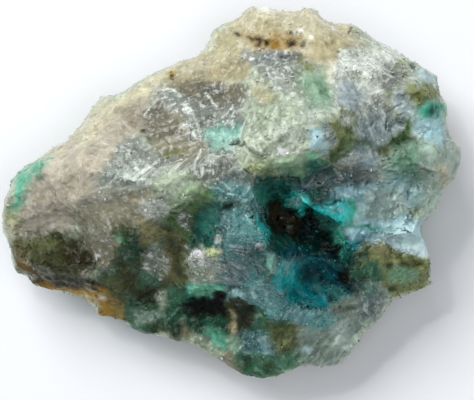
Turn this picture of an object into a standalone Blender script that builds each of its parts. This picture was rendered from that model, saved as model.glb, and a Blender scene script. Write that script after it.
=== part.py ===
"""Chrysocolla specimen: one broken lump of quartz rock with copper-silicate pockets.

The stone lies on a broken flat of its back, broad face up. +X runs along its length,
+Z is up, and the origin is under the middle of its box, on the surface it rests on.
It is sculpted in millimetres and scaled to metres at the end.
"""

import math
import random
from collections import namedtuple

import bpy
import numpy as np
from mathutils import Matrix, Vector, kdtree, noise

MM = 0.001

# Driving dimensions, in millimetres.
LENGTH = 45.9
DEPTH = 37.5
HEIGHT = 21.5
RIM_TOP = 8.5
RIM_FOOT = 4.6

# How finely the stone is sculpted.
SPHERE_SUBDIVISIONS = 7
FIRST_VOXEL = 0.34
LAST_VOXEL = 0.30
TRIANGLES = 9000
FLAT_SNAP = 0.12

# The rim of the stone in plan, as (x, y), anticlockwise from the east lobe.
RIM = [
    (23.2, 3.1), (22.8, 4.2), (21.0, 5.0), (21.1, 5.8), (20.9, 6.9), (21.5, 8.4), (20.2, 8.9),
    (20.7, 11.1), (19.2, 12.0), (18.3, 12.6), (17.1, 12.7), (16.5, 13.5), (15.5, 14.2),
    (13.9, 15.0), (13.1, 15.6), (12.4, 16.3), (11.5, 16.6), (10.0, 16.4), (8.6, 16.6),
    (8.5, 18.0), (8.0, 18.5), (7.1, 18.3), (6.3, 17.5), (4.2, 17.8), (2.6, 18.4), (1.2, 18.6),
    (0.4, 16.5), (-1.3, 16.7), (-2.4, 16.0), (-2.5, 14.0), (-3.0, 13.0), (-5.2, 13.0),
    (-6.4, 12.4), (-7.9, 11.6), (-9.5, 11.0), (-10.6, 10.1), (-11.1, 9.4), (-12.4, 9.5),
    (-13.4, 9.2), (-13.9, 8.6), (-14.6, 7.4), (-15.6, 5.7), (-16.6, 4.6), (-18.1, 4.0),
    (-19.4, 2.9), (-21.0, 2.1), (-22.1, 1.0), (-22.1, -0.2), (-22.9, -1.2), (-23.0, -2.2),
    (-23.1, -4.1), (-23.0, -5.2), (-22.1, -5.9), (-22.1, -6.9), (-22.4, -7.8), (-21.9, -8.5),
    (-20.2, -8.8), (-20.0, -9.8), (-19.2, -10.2), (-17.8, -10.4), (-15.0, -9.3), (-14.1, -10.3),
    (-14.0, -11.7), (-14.2, -12.9), (-13.3, -13.0), (-12.2, -12.7), (-10.5, -14.1), (-8.9, -14.9),
    (-6.9, -14.8), (-5.7, -15.6), (-4.3, -15.6), (-3.0, -16.4), (-1.8, -17.3), (-0.5, -18.1),
    (0.0, -18.7), (1.1, -19.1), (2.1, -19.6), (3.4, -19.5), (4.6, -19.0), (6.1, -18.6),
    (6.5, -17.4), (7.6, -17.8), (8.6, -18.1), (10.3, -18.3), (11.2, -18.1), (11.5, -17.1),
    (12.0, -16.4), (12.3, -15.6), (13.2, -14.6), (14.2, -13.4), (15.2, -12.7), (14.7, -11.5),
    (14.9, -10.7), (16.4, -11.0), (17.7, -10.5), (19.3, -10.1), (20.3, -9.7), (20.0, -8.6),
    (19.8, -7.1), (19.2, -6.0), (19.3, -5.4), (18.4, -4.6), (17.8, -3.9), (18.2, -3.2),
    (19.0, -2.7), (20.6, -2.5), (20.1, -1.9), (20.6, -0.6), (20.6, 0.2), (22.3, 0.7), (22.6, 2.1),
]

# A broken plane: a point on it, and its rise per millimetre along x and y.
Plane = namedtuple("Plane", "x y z along_x along_y")
TOP_PLANES = {
    "quartz_table": Plane(-3.0, 7.0, 20.4, 0.06, -0.05),
    "left_shoulder": Plane(-13.0, 2.0, 18.0, 0.40, -0.02),
    "north_west_flank": Plane(-12.0, 8.0, 12.8, 0.45, -0.95),
    "crown_slope": Plane(4.0, 14.0, 17.4, 0.02, -0.66),
    "north_east_slope": Plane(11.0, 7.0, 18.6, -0.52, -0.72),
    "east_slope": Plane(14.0, -1.0, 16.6, -0.62, 0.05),
    "south_east_facet": Plane(10.5, -13.0, 11.4, -0.62, 0.78),
    "south_slope": Plane(0.5, -13.0, 13.6, 0.05, 0.80),
    "south_west_flank": Plane(-10.0, -6.5, 15.0, 0.34, 0.75),
    "west_hollow_flank": Plane(-18.0, -5.0, 12.0, 0.34, 0.85),
}
FOOT_PLANES = {
    "base": Plane(0.0, 0.0, 0.0, 0.0, 0.0),
    "north_undercut": Plane(2.0, 8.0, 0.0, 0.06, 0.44),
    "north_east_undercut": Plane(12.0, 5.0, 0.0, 0.26, 0.24),
    "east_undercut": Plane(14.0, -2.0, 0.0, 0.48, -0.02),
    "south_east_undercut": Plane(8.0, -8.5, 0.0, 0.34, -0.42),
    "south_undercut": Plane(0.0, -9.0, 0.0, -0.05, -0.46),
    "south_west_undercut": Plane(-12.0, -4.5, 0.0, -0.26, -0.36),
    "west_undercut": Plane(-14.0, 0.0, 0.0, -0.46, 0.05),
    "north_west_undercut": Plane(-9.0, 3.5, 0.0, -0.22, 0.48),
}

# A patch with a level step at its edge: plan corners, rise (or drop), and how wide the step is.
Step = namedtuple("Step", "corners rise width")
STEPS = {
    "south_court": Step(
        [(-8.4, -3.2), (-4.6, -1.7), (-1.8, 0.4), (0.4, 1.8), (3.4, 1.6), (4.4, -6.2),
         (4.8, -10.4), (10.6, -11.6), (24.0, -10.4), (24.0, -22.0), (-14.0, -22.0),
         (-9.4, -10.0)], -1.9, 0.8),
    "east_court": Step(
        [(1.6, 1.4), (3.2, 1.9), (6.8, 2.4), (9.2, 3.8), (9.4, 5.6), (11.4, 7.6), (15.0, 8.4),
         (24.0, 5.0), (24.0, -10.2), (14.6, -10.2), (11.0, -11.4), (7.0, -11.5),
         (4.8, -10.2), (4.4, -6.2), (2.6, -2.6)], -1.5, 1.2),
    "pocket_court": Step(
        [(1.6, 1.4), (3.2, 1.9), (6.8, 2.4), (9.2, 3.9), (10.2, 2.6), (13.2, 1.3), (24.0, 0.7),
         (24.0, -10.2), (14.6, -10.2), (11.0, -11.4), (7.0, -11.5), (4.8, -10.2),
         (4.4, -6.2), (2.6, -2.6)], -2.5, 0.9),
    "dark_corner": Step(
        [(1.6, 1.4), (6.4, 2.2), (9.2, 1.8), (10.6, 0.6), (7.4, -0.6), (5.4, -2.2),
         (2.6, -2.6)], -1.7, 0.7),
    "drusy_block": Step(
        [(-2.7, 0.6), (1.8, 1.0), (2.8, -0.8), (2.4, -4.0), (4.2, -6.2), (4.6, -9.6),
         (0.4, -10.6), (-1.0, -8.8), (-1.0, -5.4), (-2.2, -3.2)], 1.5, 0.6),
    "sparkling_block": Step(
        [(-4.6, -5.5), (-1.2, -5.3), (-1.1, -8.8), (-4.2, -9.0)], 1.9, 0.5),
    "copper_sill": Step(
        [(-5.2, -8.9), (-1.0, -8.7), (-0.8, -10.2), (-5.0, -10.3)], 1.0, 0.5),
    "granular_step": Step(
        [(9.4, 7.8), (12.2, 6.8), (12.6, 3.4), (9.8, 3.0), (9.2, 5.4)], 1.5, 0.8),
    "smoky_facet": Step(
        [(-6.6, 11.1), (1.4, 11.5), (1.6, 8.4), (-3.2, 7.2), (-5.2, 9.6)], -1.1, 0.4),
    "prism_facet": Step(
        [(-7.8, 9.1), (-9.2, 6.5), (-5.4, 6.4)], -1.0, 0.4),
    "tilted_plate": Step(
        [(-5.0, 9.8), (-3.2, 7.4), (-3.4, 4.8), (-5.4, 6.2), (-7.0, 9.4)], 0.9, 0.4),
    "left_plate": Step(
        [(-16.0, 3.0), (-9.0, 7.6), (-8.4, 2.0), (-14.0, 0.0)], 0.8, 0.4),
    "shoulder_plate": Step(
        [(-12.6, 1.0), (-5.6, 2.4), (-4.8, -0.4), (-8.0, -2.2), (-15.6, -3.0)], 0.9, 0.4),
    "crown_plate": Step(
        [(-1.4, 14.0), (2.0, 13.6), (9.8, 13.6), (13.0, 12.2), (9.0, 9.6), (2.0, 11.0)], 0.7, 0.4),
    "pale_plate": Step(
        [(2.0, 10.0), (8.6, 9.0), (10.2, 6.0), (8.4, 3.6), (3.0, 3.4), (1.8, 6.8)], 1.0, 0.4),
    "lower_right_facet": Step(
        [(4.4, -11.2), (9.8, -11.6), (10.0, -19.0), (6.0, -18.6)], -0.9, 0.5),
    "south_west_plate": Step(
        [(-12.6, -3.4), (-7.8, -3.6), (-8.4, -9.0), (-12.0, -8.2), (-14.0, -6.2)], 0.7, 0.5),
    "knob": Step(
        [(11.6, -5.6), (15.0, -5.7), (18.8, -6.3), (20.4, -7.6), (20.4, -10.0), (12.4, -9.9),
         (11.6, -8.0)], 3.0, 0.9),
    "olive_shelf": Step(
        [(-23.0, -7.2), (-15.6, -8.6), (-9.4, -10.8), (-8.0, -14.5), (-23.0, -14.5)], -1.0, 0.8),
}

# A smooth rise or hollow in plan: centre, half sizes, turn in degrees, height at its middle.
Swell = namedtuple("Swell", "x y half_x half_y turn rise")
SWELLS = {
    "crown_west_nodule": Swell(-0.8, 15.3, 2.2, 1.8, 20, 1.2),
    "crown_peak_nodule": Swell(2.4, 17.0, 2.4, 1.6, 0, 1.9),
    "crown_north_nodule": Swell(6.2, 16.7, 3.4, 1.7, -10, 1.6),
    "crown_east_nodule": Swell(9.6, 14.6, 3.6, 2.0, -25, 1.4),
    "crown_pitted_groove": Swell(3.6, 15.1, 4.6, 0.8, -8, -1.0),
    "crown_lower_groove": Swell(7.6, 12.9, 3.6, 0.8, -20, -1.1),
    "mint_dimple": Swell(-0.8, 5.5, 3.2, 1.7, -8, -1.0),
    "curled_pit": Swell(-5.4, 3.4, 2.4, 1.3, 25, -1.3),
    "left_swell": Swell(-15.0, 1.6, 5.2, 3.0, 28, 1.0),
    "left_hollow": Swell(-17.0, -5.2, 5.6, 2.2, -8, -2.8),
    "ochre_lip": Swell(-17.6, -8.2, 6.0, 1.4, -16, 1.9),
    "olive_swell": Swell(-11.2, -10.6, 3.0, 1.6, -12, 1.2),
    "south_west_groove": Swell(-7.6, -10.4, 4.0, 0.9, -38, -1.4),
    "brown_crack": Swell(-5.9, -6.2, 0.8, 4.4, 12, -1.7),
    "teal_trough": Swell(-3.2, -2.8, 1.9, 2.6, -18, -1.7),
    "bowl": Swell(8.0, -8.9, 3.6, 2.9, -14, -3.0),
    "bowl_west_wall": Swell(4.9, -8.2, 1.0, 2.6, -14, 0.8),
    "rust_lump": Swell(10.8, -8.5, 1.3, 1.0, 20, 1.2),
    "limonite_lump": Swell(0.9, -12.7, 2.1, 2.3, 10, 1.8),
    "south_facet_swell": Swell(-4.2, -13.8, 3.2, 1.4, -14, 1.1),
    "south_lobe": Swell(2.9, -16.2, 4.2, 2.4, 4, 1.8),
    "south_cleft": Swell(6.4, -15.8, 0.9, 2.8, 20, -1.8),
    "south_east_ridge": Swell(10.0, -14.6, 1.2, 3.6, 12, 1.2),
    "east_lobe": Swell(18.4, 3.0, 5.2, 3.4, -12, 2.4),
    "east_lobe_fold": Swell(16.6, 5.4, 3.0, 1.0, 22, -1.8),
    "north_east_lump": Swell(17.6, 9.8, 3.6, 2.6, -30, 2.6),
    "copper_hollow": Swell(20.2, 8.0, 1.3, 1.3, 0, -1.4),
    "lilac_hollow": Swell(16.7, 7.2, 2.0, 1.0, 10, -1.4),
    "granular_slope": Swell(12.6, 11.0, 3.6, 2.8, -40, 1.2),
    "turquoise_spur": Swell(6.2, -1.2, 1.9, 1.0, -42, 1.5),
    "upper_terrace": Swell(15.4, -0.2, 6.0, 1.2, -2, 2.0),
    "middle_terrace": Swell(14.0, -2.0, 5.2, 0.9, -6, 1.3),
    "lower_terrace": Swell(15.4, -4.2, 5.2, 1.2, -8, 2.2),
    "terrace_seam": Swell(14.2, -3.2, 4.6, 0.5, -2, -1.3),
    "lobe_seam": Swell(13.0, 1.1, 4.0, 0.5, -4, -1.4),
    "knob_tip": Swell(18.2, -8.0, 2.6, 1.9, -6, 1.6),
    "knob_face": Swell(16.0, -8.4, 2.6, 0.8, 0, -1.0),
    "knob_seam": Swell(15.4, -5.3, 5.4, 0.6, -16, -2.2),
}

# A pocket eaten right into the stone: centre, half sizes, and turns about x, y and z in degrees.
Pocket = namedtuple("Pocket", "x y z half_x half_y half_z turns")
POCKETS = {
    "main_pocket": Pocket(7.0, -3.7, 10.4, 4.9, 2.7, 5.4, (14, -10, -37)),
    "pocket_throat": Pocket(4.8, -1.9, 10.6, 2.2, 2.0, 4.0, (-24, 10, 0)),
    "slot": Pocket(-2.5, -11.5, 9.4, 2.6, 1.1, 3.4, (16, 0, 4)),
}
POCKET_ROUGHNESS = 0.35

# Broken facets: size of one, how flat it is (0 to 1), how far it leans, and its random seed.
Fracture = namedtuple("Fracture", "size flatness lean seed")
LARGE_FACETS = [
    Fracture(9.0, 0.75, 0.16, 11),
    Fracture(4.6, 0.65, 0.16, 17),
]
SMALL_FACETS = [
    Fracture(2.6, 0.65, 0.20, 23),
    Fracture(1.5, 0.60, 0.20, 31),
]
RIM_GUARD = 1.6
RIM_CHIPS = 0.18
HELD_FROM = 3.0
UNDERCUT = 0.11
FOOT_EASE = np.linspace(-0.22, 0.22, 9)
GRAIN = 0.05


def clear_scene():
    """Removes the objects that are already there."""
    for old in list(bpy.data.objects):
        bpy.data.objects.remove(old, do_unlink=True)


def points_of(mesh):
    """The mesh's vertices as an array of (x, y, z)."""
    flat = np.empty(len(mesh.vertices) * 3)
    mesh.vertices.foreach_get("co", flat)
    return flat.reshape(-1, 3)


def normals_of(mesh):
    """The mesh's vertex normals as an array."""
    flat = np.empty(len(mesh.vertices) * 3)
    mesh.vertices.foreach_get("normal", flat)
    return flat.reshape(-1, 3)


def set_points(mesh, points):
    """Puts the mesh's vertices at these points."""
    mesh.vertices.foreach_set("co", points.astype(np.float32).ravel())
    mesh.update()


def smoothstep(t):
    """0 below 0, 1 above 1, and a smooth rise between."""
    t = np.clip(t, 0, 1)
    return t * t * (3 - 2 * t)


def smooth_least(heights, softness):
    """The lowest of several rows of heights, with the creases between them eased."""
    least = heights.min(0)
    return least - softness * np.log(np.exp((least - heights) / softness).sum(0))


def rim_radius(angles):
    """How far the rim is from the middle at each plan angle."""
    rim = np.array(RIM)
    corner_angles = np.arctan2(rim[:, 1], rim[:, 0])
    order = np.argsort(corner_angles)
    rim, corner_angles = rim[order], corner_angles[order]
    after = np.searchsorted(corner_angles, angles) % len(rim)
    start, end = rim[after - 1], rim[after]
    side = end - start
    across = np.cos(angles) * side[:, 1] - np.sin(angles) * side[:, 0]
    return (start[:, 0] * side[:, 1] - start[:, 1] * side[:, 0]) / across


def wrapped(angles):
    """The same angles, between -pi and pi."""
    return (angles + math.pi) % math.tau - math.pi


def signed_distance(x, y, corners):
    """Distance to a plan outline, positive inside it."""
    corners = np.array(corners, float)
    nearest = np.full(x.shape, np.inf)
    inside = np.zeros(x.shape, bool)
    for (ax, ay), (bx, by) in zip(corners, np.roll(corners, -1, axis=0)):
        dx, dy = bx - ax, by - ay
        t = np.clip(((x - ax) * dx + (y - ay) * dy) / (dx * dx + dy * dy), 0, 1)
        nearest = np.minimum(nearest, np.hypot(x - ax - t * dx, y - ay - t * dy))
        crosses = (ay > y) != (by > y)
        inside ^= crosses & (x < ax + (y - ay) * dx / (dy if dy else 1e-9))
    return np.where(inside, nearest, -nearest)


def swell_height(x, y, swell):
    """What one swell adds at each plan point."""
    turn = math.radians(swell.turn)
    along = (x - swell.x) * math.cos(turn) + (y - swell.y) * math.sin(turn)
    across = (y - swell.y) * math.cos(turn) - (x - swell.x) * math.sin(turn)
    reach = np.clip(1 - (along / swell.half_x) ** 2 - (across / swell.half_y) ** 2, 0, 1)
    return swell.rise * reach**1.3


def plane_heights(x, y, planes):
    """The height of each plane at each plan point, one row a plane."""
    return np.stack([
        p.z + (x - p.x) * p.along_x + (y - p.y) * p.along_y for p in planes.values()
    ])


def body_height(x, y):
    """Height of the broad face at each plan point, before its steps, swells and facets."""
    from_rim = np.clip(signed_distance(x, y, RIM), 0, None)
    edge_roll = RIM_TOP + 13.0 * np.sqrt(1 - (1 - np.clip(from_rim / 6.5, 0, 1)) ** 2)
    return smooth_least(np.vstack([plane_heights(x, y, TOP_PLANES), edge_roll]), 0.35)


def relief(x, y):
    """What the steps and swells add to the broad face at each plan point."""
    from_rim = np.clip(signed_distance(x, y, RIM), 0, None)
    added = np.zeros(x.shape)
    for step in STEPS.values():
        added += step.rise * smoothstep(signed_distance(x, y, step.corners) / step.width + 0.5)
    added *= smoothstep(from_rim / 2.5)
    for swell in SWELLS.values():
        added += swell_height(x, y, swell) * smoothstep(from_rim / 1.2 + 0.3)
    return added


def foot_height(x, y):
    """Height of the stone's underside at each plan point: a flat with broken flanks."""
    return np.clip(plane_heights(x, y, FOOT_PLANES).max(0), 0, RIM_FOOT)


def add_stone():
    """A sphere drawn out to the rim in plan, with the broad face above and the flat below."""
    bpy.ops.mesh.primitive_ico_sphere_add(subdivisions=SPHERE_SUBDIVISIONS, radius=1)
    stone = bpy.context.object
    stone.name = "stone"
    u, v, w = points_of(stone.data).T
    wall = 0.16
    out = np.sqrt(np.clip((1 - np.abs(w)) / (1 - wall), 0, 1))
    angles = np.arctan2(v, u)
    around = [Vector((math.cos(a), math.sin(a), 0)) for a in angles]
    chips = RIM_CHIPS * np.array([noise.noise(a * 11) for a in around])
    undercut = UNDERCUT * (0.7 + np.array([noise.noise(a * 2.6) for a in around]))
    sharp = rim_radius(angles) + chips
    eased = np.mean([rim_radius(wrapped(angles + turn)) for turn in FOOT_EASE], axis=0)
    down = smoothstep(-w / wall)
    reach = out * (sharp + (eased - sharp) * down) * (1 - undercut * down)
    x, y = reach * np.cos(angles), reach * np.sin(angles)
    share_up = smoothstep((w / wall + 1) / 2)
    z = foot_height(x, y) * (1 - share_up) + body_height(x, y) * share_up
    set_points(stone.data, np.stack([x, y, z], axis=1))
    return stone


def add_pocket(name, pocket):
    """The rough closed body that a pocket is cut with."""
    bpy.ops.mesh.primitive_ico_sphere_add(subdivisions=4, radius=1)
    cutter = bpy.context.object
    cutter.name = name
    rough = np.array([
        1 + POCKET_ROUGHNESS * noise.noise(Vector(p) * 1.7 + Vector((pocket.x, 0, 0)))
        for p in points_of(cutter.data)
    ])
    scaled = points_of(cutter.data) * rough[:, None]
    scaled *= (pocket.half_x, pocket.half_y, pocket.half_z)
    set_points(cutter.data, scaled)
    turns = [math.radians(t) for t in pocket.turns]
    place = Matrix.Translation((pocket.x, pocket.y, pocket.z + pocket.half_z * 0.55))
    for axis, turn in zip("ZYX", reversed(turns)):
        place = place @ Matrix.Rotation(turn, 4, axis)
    cutter.data.transform(place)
    cutter.hide_render = True
    cutter.display_type = "WIRE"
    return cutter


def apply_modifiers(obj):
    """Makes the object's evaluated mesh its own, and drops its modifiers."""
    graph = bpy.context.evaluated_depsgraph_get()
    made = bpy.data.meshes.new_from_object(obj.evaluated_get(graph))
    obj.modifiers.clear()
    old = obj.data
    obj.data = made
    bpy.data.meshes.remove(old)


def cut_pockets(stone):
    """Eats the pockets into the stone."""
    cutters = [add_pocket(name, pocket) for name, pocket in POCKETS.items()]
    for cutter in cutters:
        cut = stone.modifiers.new(cutter.name, "BOOLEAN")
        cut.operation = "DIFFERENCE"
        cut.solver = "EXACT"
        cut.object = cutter
    apply_modifiers(stone)
    for cutter in cutters:
        bpy.data.objects.remove(cutter, do_unlink=True)


def remesh(stone, voxel):
    """Makes the stone one even closed skin."""
    even = stone.modifiers.new("even_skin", "REMESH")
    even.mode = "VOXEL"
    even.voxel_size = voxel
    apply_modifiers(stone)


def facet_offsets(points, normals, fracture):
    """The move that brings each point towards the plane of the broken facet it is on."""
    draw = random.Random(fracture.seed)
    warp = np.array([noise.noise_vector(Vector(p) / fracture.size) for p in points])
    keys = points + (normals * 0.7 + warp * 0.3) * fracture.size
    area = 2 * (LENGTH * DEPTH + LENGTH * HEIGHT + DEPTH * HEIGHT) * 0.8
    seeds = draw.sample(range(len(points)), int(area / fracture.size**2))
    tree = kdtree.KDTree(len(seeds))
    for label, seed in enumerate(seeds):
        tree.insert(keys[seed], label)
    tree.balance()
    labels = np.array([tree.find(key)[1] for key in keys])
    counts = np.maximum(np.bincount(labels, minlength=len(seeds)), 1)[:, None]
    centres = np.stack([np.bincount(labels, points[:, i], len(seeds)) for i in range(3)], 1) / counts
    facing = np.stack([np.bincount(labels, normals[:, i], len(seeds)) for i in range(3)], 1) / counts
    facing += [[draw.uniform(-1, 1) * fracture.lean for _ in range(3)] for _ in seeds]
    facing /= np.linalg.norm(facing, axis=1)[:, None] + 1e-9
    off_plane = ((points - centres[labels]) * facing[labels]).sum(1)
    off_plane = np.clip(off_plane, -0.25 * fracture.size, 0.25 * fracture.size)
    return -facing[labels] * off_plane[:, None] * fracture.flatness


def break_surface(stone, fractures):
    """Breaks the skin into flat facets of several sizes, less so at the rim."""
    for fracture in fractures:
        points = points_of(stone.data)
        from_rim = np.abs(signed_distance(points[:, 0], points[:, 1], RIM))
        held = 1 - smoothstep(from_rim / RIM_GUARD - 0.3)
        free = 1 - 0.9 * held * smoothstep((points[:, 2] - HELD_FROM) / RIM_GUARD)
        offsets = facet_offsets(points, normals_of(stone.data), fracture)
        set_points(stone.data, points + offsets * free[:, None])


def carve_relief(stone):
    """Raises and sinks the broad face by its steps and swells."""
    points = points_of(stone.data)
    facing_up = smoothstep(normals_of(stone.data)[:, 2] * 3)
    points[:, 2] += relief(points[:, 0], points[:, 1]) * facing_up
    points[:, 2] = np.maximum(points[:, 2], np.where(facing_up > 0.5, RIM_FOOT + 1.5, 0))
    set_points(stone.data, points)


def roughen(stone):
    """Puts a fine grain on the skin."""
    points = points_of(stone.data)
    grain = np.array([noise.noise(Vector(p) * 1.9) for p in points])
    set_points(stone.data, points + normals_of(stone.data) * grain[:, None] * GRAIN)


def settle(stone):
    """Gives the stone its stated box, and its flat base at the origin's height."""
    points = points_of(stone.data)
    points[:, 2] = np.maximum(points[:, 2], 0)
    low, high = points.min(0), points.max(0)
    middle = (low + high) / 2
    points[:, :2] -= middle[:2]
    points *= np.array([LENGTH, DEPTH, HEIGHT]) / (high - low)
    set_points(stone.data, points)


def thin_out(stone):
    """Brings the skin down to its triangles, and levels the base again."""
    fewer = stone.modifiers.new("fewer_faces", "DECIMATE")
    fewer.ratio = TRIANGLES / (2 * len(stone.data.polygons))
    fewer.use_collapse_triangulate = True
    apply_modifiers(stone)
    points = points_of(stone.data)
    points[points[:, 2] < FLAT_SNAP, 2] = 0
    set_points(stone.data, points)


def quartz_material():
    """Grey-green copper-stained quartz."""
    material = bpy.data.materials.new("copper_stained_quartz")
    material.use_nodes = True
    shader = material.node_tree.nodes["Principled BSDF"]
    shader.inputs["Base Color"].default_value = (0.30, 0.38, 0.33, 1)
    shader.inputs["Roughness"].default_value = 0.45
    shader.inputs["Metallic"].default_value = 0
    return material


def main():
    """Builds the stone."""
    clear_scene()
    stone = add_stone()
    remesh(stone, FIRST_VOXEL)
    break_surface(stone, LARGE_FACETS)
    carve_relief(stone)
    remesh(stone, FIRST_VOXEL)
    cut_pockets(stone)
    remesh(stone, FIRST_VOXEL)
    break_surface(stone, SMALL_FACETS)
    roughen(stone)
    remesh(stone, LAST_VOXEL)
    settle(stone)
    thin_out(stone)
    stone.data.transform(Matrix.Scale(MM, 4))
    stone.data.materials.clear()
    stone.data.materials.append(quartz_material())
    stone.data.shade_flat()
    collection = bpy.data.collections.new("chrysocolla_specimen")
    bpy.context.scene.collection.children.link(collection)
    for holder in list(stone.users_collection):
        holder.objects.unlink(stone)
    collection.objects.link(stone)


if __name__ == "__main__":
    main()
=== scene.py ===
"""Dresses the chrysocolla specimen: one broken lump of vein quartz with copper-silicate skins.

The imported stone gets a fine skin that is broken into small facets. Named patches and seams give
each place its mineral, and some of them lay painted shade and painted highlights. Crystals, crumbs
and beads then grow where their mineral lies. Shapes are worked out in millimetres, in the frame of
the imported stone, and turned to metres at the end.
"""

from __future__ import annotations

import logging
import math
import random
from dataclasses import dataclass, field, fields
from enum import Enum

import bmesh
import bpy
import numpy as np
from bpy.types import Material, Mesh, Node, NodeSocket, NodeTree, Object
from mathutils import Matrix, Vector, kdtree, noise


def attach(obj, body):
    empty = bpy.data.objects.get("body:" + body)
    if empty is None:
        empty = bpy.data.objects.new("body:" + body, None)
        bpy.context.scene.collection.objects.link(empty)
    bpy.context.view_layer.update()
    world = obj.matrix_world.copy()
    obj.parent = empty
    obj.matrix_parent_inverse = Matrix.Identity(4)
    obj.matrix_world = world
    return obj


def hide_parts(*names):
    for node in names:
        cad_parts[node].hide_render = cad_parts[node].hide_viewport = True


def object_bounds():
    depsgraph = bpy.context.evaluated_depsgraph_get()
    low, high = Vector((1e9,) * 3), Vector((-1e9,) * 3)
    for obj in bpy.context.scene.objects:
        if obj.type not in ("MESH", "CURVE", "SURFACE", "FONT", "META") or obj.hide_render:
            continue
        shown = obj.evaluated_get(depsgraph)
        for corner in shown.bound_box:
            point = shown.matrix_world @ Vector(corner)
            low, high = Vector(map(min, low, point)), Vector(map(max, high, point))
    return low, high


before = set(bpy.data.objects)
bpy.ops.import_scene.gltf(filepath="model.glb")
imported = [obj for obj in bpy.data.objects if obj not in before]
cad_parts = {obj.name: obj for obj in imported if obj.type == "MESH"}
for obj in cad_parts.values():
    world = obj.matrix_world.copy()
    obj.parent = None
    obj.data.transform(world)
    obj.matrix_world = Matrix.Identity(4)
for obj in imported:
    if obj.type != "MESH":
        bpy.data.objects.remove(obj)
CAD_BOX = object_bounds()

LOG = logging.getLogger("chrysocolla_specimen")
MM = 0.001
BODY = "root"
VIEW_TARGET = (0.00045, -0.00065, 0.008)
VIEW_HEIGHT = 0.35
NOISE_SEED = 1
TENTHS = 10  # the marks are drawn in tenths of a millimetre
OVAL_CORNERS = 12


def linear(colour: str) -> tuple[float, float, float, float]:
    """Turns an sRGB hex colour to the linear one that a shader takes.

    Args:
        colour: The colour as "#rrggbb".

    Returns:
        Red, green, blue and an alpha of 1.
    """
    parts = [int(colour[i : i + 2], 16) / 255 for i in (1, 3, 5)]
    r, g, b = (p / 12.92 if p <= 0.04045 else ((p + 0.055) / 1.055) ** 2.4 for p in parts)
    return r, g, b, 1.0


def add_node(
    tree: NodeTree, kind: str, sockets: dict | None = None, **settings
) -> Node:
    """Adds a node, sets it up and links it.

    Args:
        tree: The tree that gets the node.
        kind: The node's type.
        sockets: What each input holds, by name or place: a value, the output that it is linked
            to, or a node whose first output it is linked to.
        settings: The node's own properties.

    Returns:
        The new node.
    """
    node = tree.nodes.new(kind)
    for name, value in settings.items():
        setattr(node, name, value)
    for key, value in (sockets or {}).items():
        if isinstance(value, Node):
            value = value.outputs[0]
        if isinstance(value, NodeSocket):
            tree.links.new(value, node.inputs[key])
        else:
            node.inputs[key].default_value = value
    return node


def new_material(name: str, constants: dict[str, object]) -> Material:
    """Makes a material with one shader.

    Args:
        name: Common name of what it is.
        constants: What the shader's own sockets hold, by name.

    Returns:
        The material.
    """
    material = bpy.data.materials.new(name)
    material.use_nodes = True
    shader = material.node_tree.nodes["Principled BSDF"]
    for socket, value in constants.items():
        shader.inputs[socket].default_value = value
    return material


def smoothstep(t: np.ndarray) -> np.ndarray:
    """Gives 0 below 0, 1 above 1, and a smooth rise between."""
    t = np.clip(t, 0, 1)
    return t * t * (3 - 2 * t)


def oval(x: float, y: float, half_x: float, half_y: float, turn: float = 0.0) -> list[float]:
    """Outlines an oval in plan.

    Args:
        x: Middle along X, in tenths of a millimetre.
        y: Middle along Y.
        half_x: Half size along the oval's own length.
        half_y: Half size across it.
        turn: How far it is turned, in degrees.

    Returns:
        The X and Y of its corners, in turn.
    """
    lean = math.radians(turn)
    corners = []
    for step in range(OVAL_CORNERS):
        angle = step * math.tau / OVAL_CORNERS
        along, across = half_x * math.cos(angle), half_y * math.sin(angle)
        corners += [
            x + along * math.cos(lean) - across * math.sin(lean),
            y + along * math.sin(lean) + across * math.cos(lean),
        ]
    return corners


def line_distance(plan: np.ndarray, start: np.ndarray, end: np.ndarray) -> np.ndarray:
    """Measures each plan point's distance to a straight line between two points."""
    side = end - start
    t = np.clip((plan - start) @ side / (side @ side), 0, 1)
    return np.linalg.norm(plan - start - t[:, None] * side, axis=1)


def outline_distance(plan: np.ndarray, corners: np.ndarray) -> np.ndarray:
    """Measures each plan point's distance to an outline, positive inside it.

    Args:
        plan: The points, one row each.
        corners: The outline's corners, one row each.

    Returns:
        One distance a point, in the points' own unit.
    """
    nearest = np.full(len(plan), np.inf)
    inside = np.zeros(len(plan), bool)
    for start, end in zip(corners, np.roll(corners, -1, axis=0)):
        nearest = np.minimum(nearest, line_distance(plan, start, end))
        crosses = (start[1] > plan[:, 1]) != (end[1] > plan[:, 1])
        rise = end[1] - start[1] or 1e-9
        inside ^= crosses & (
            plan[:, 0] < start[0] + (plan[:, 1] - start[1]) * (end[0] - start[0]) / rise
        )
    return np.where(inside, nearest, -nearest)


def noise_at(points: np.ndarray, size: float, seed: float = 0.0) -> np.ndarray:
    """Reads smooth noise at each point.

    Args:
        points: The points, in millimetres.
        size: How wide one lump of the noise is, in millimetres.
        seed: Where in the noise it reads, so that two calls differ.

    Returns:
        One value a point, from about -1 to 1.
    """
    shift = Vector((seed * 17.3, seed * 5.1, seed * 9.7))
    return np.array([noise.noise(Vector(p) / size + shift) for p in points])


def noise_vector_at(points: np.ndarray, size: float) -> np.ndarray:
    """Reads a smooth random vector at each point, for lumps of this size in millimetres."""
    return np.array([noise.noise_vector(Vector(p) / size) for p in points])


def seen_plan(points: np.ndarray) -> np.ndarray:
    """Works out where each point stands in the plan that the marks are drawn in.

    The plan is drawn as the stone looks from above, where what stands high spreads outwards.

    Args:
        points: The points, in millimetres.

    Returns:
        Their X and Y in that plan, in millimetres.
    """
    middle = np.array(VIEW_TARGET) / MM
    spread = VIEW_HEIGHT / (VIEW_HEIGHT + (middle[2] - points[:, 2:]) * MM)
    return middle[:2] + (points[:, :2] - middle[:2]) * spread


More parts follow.
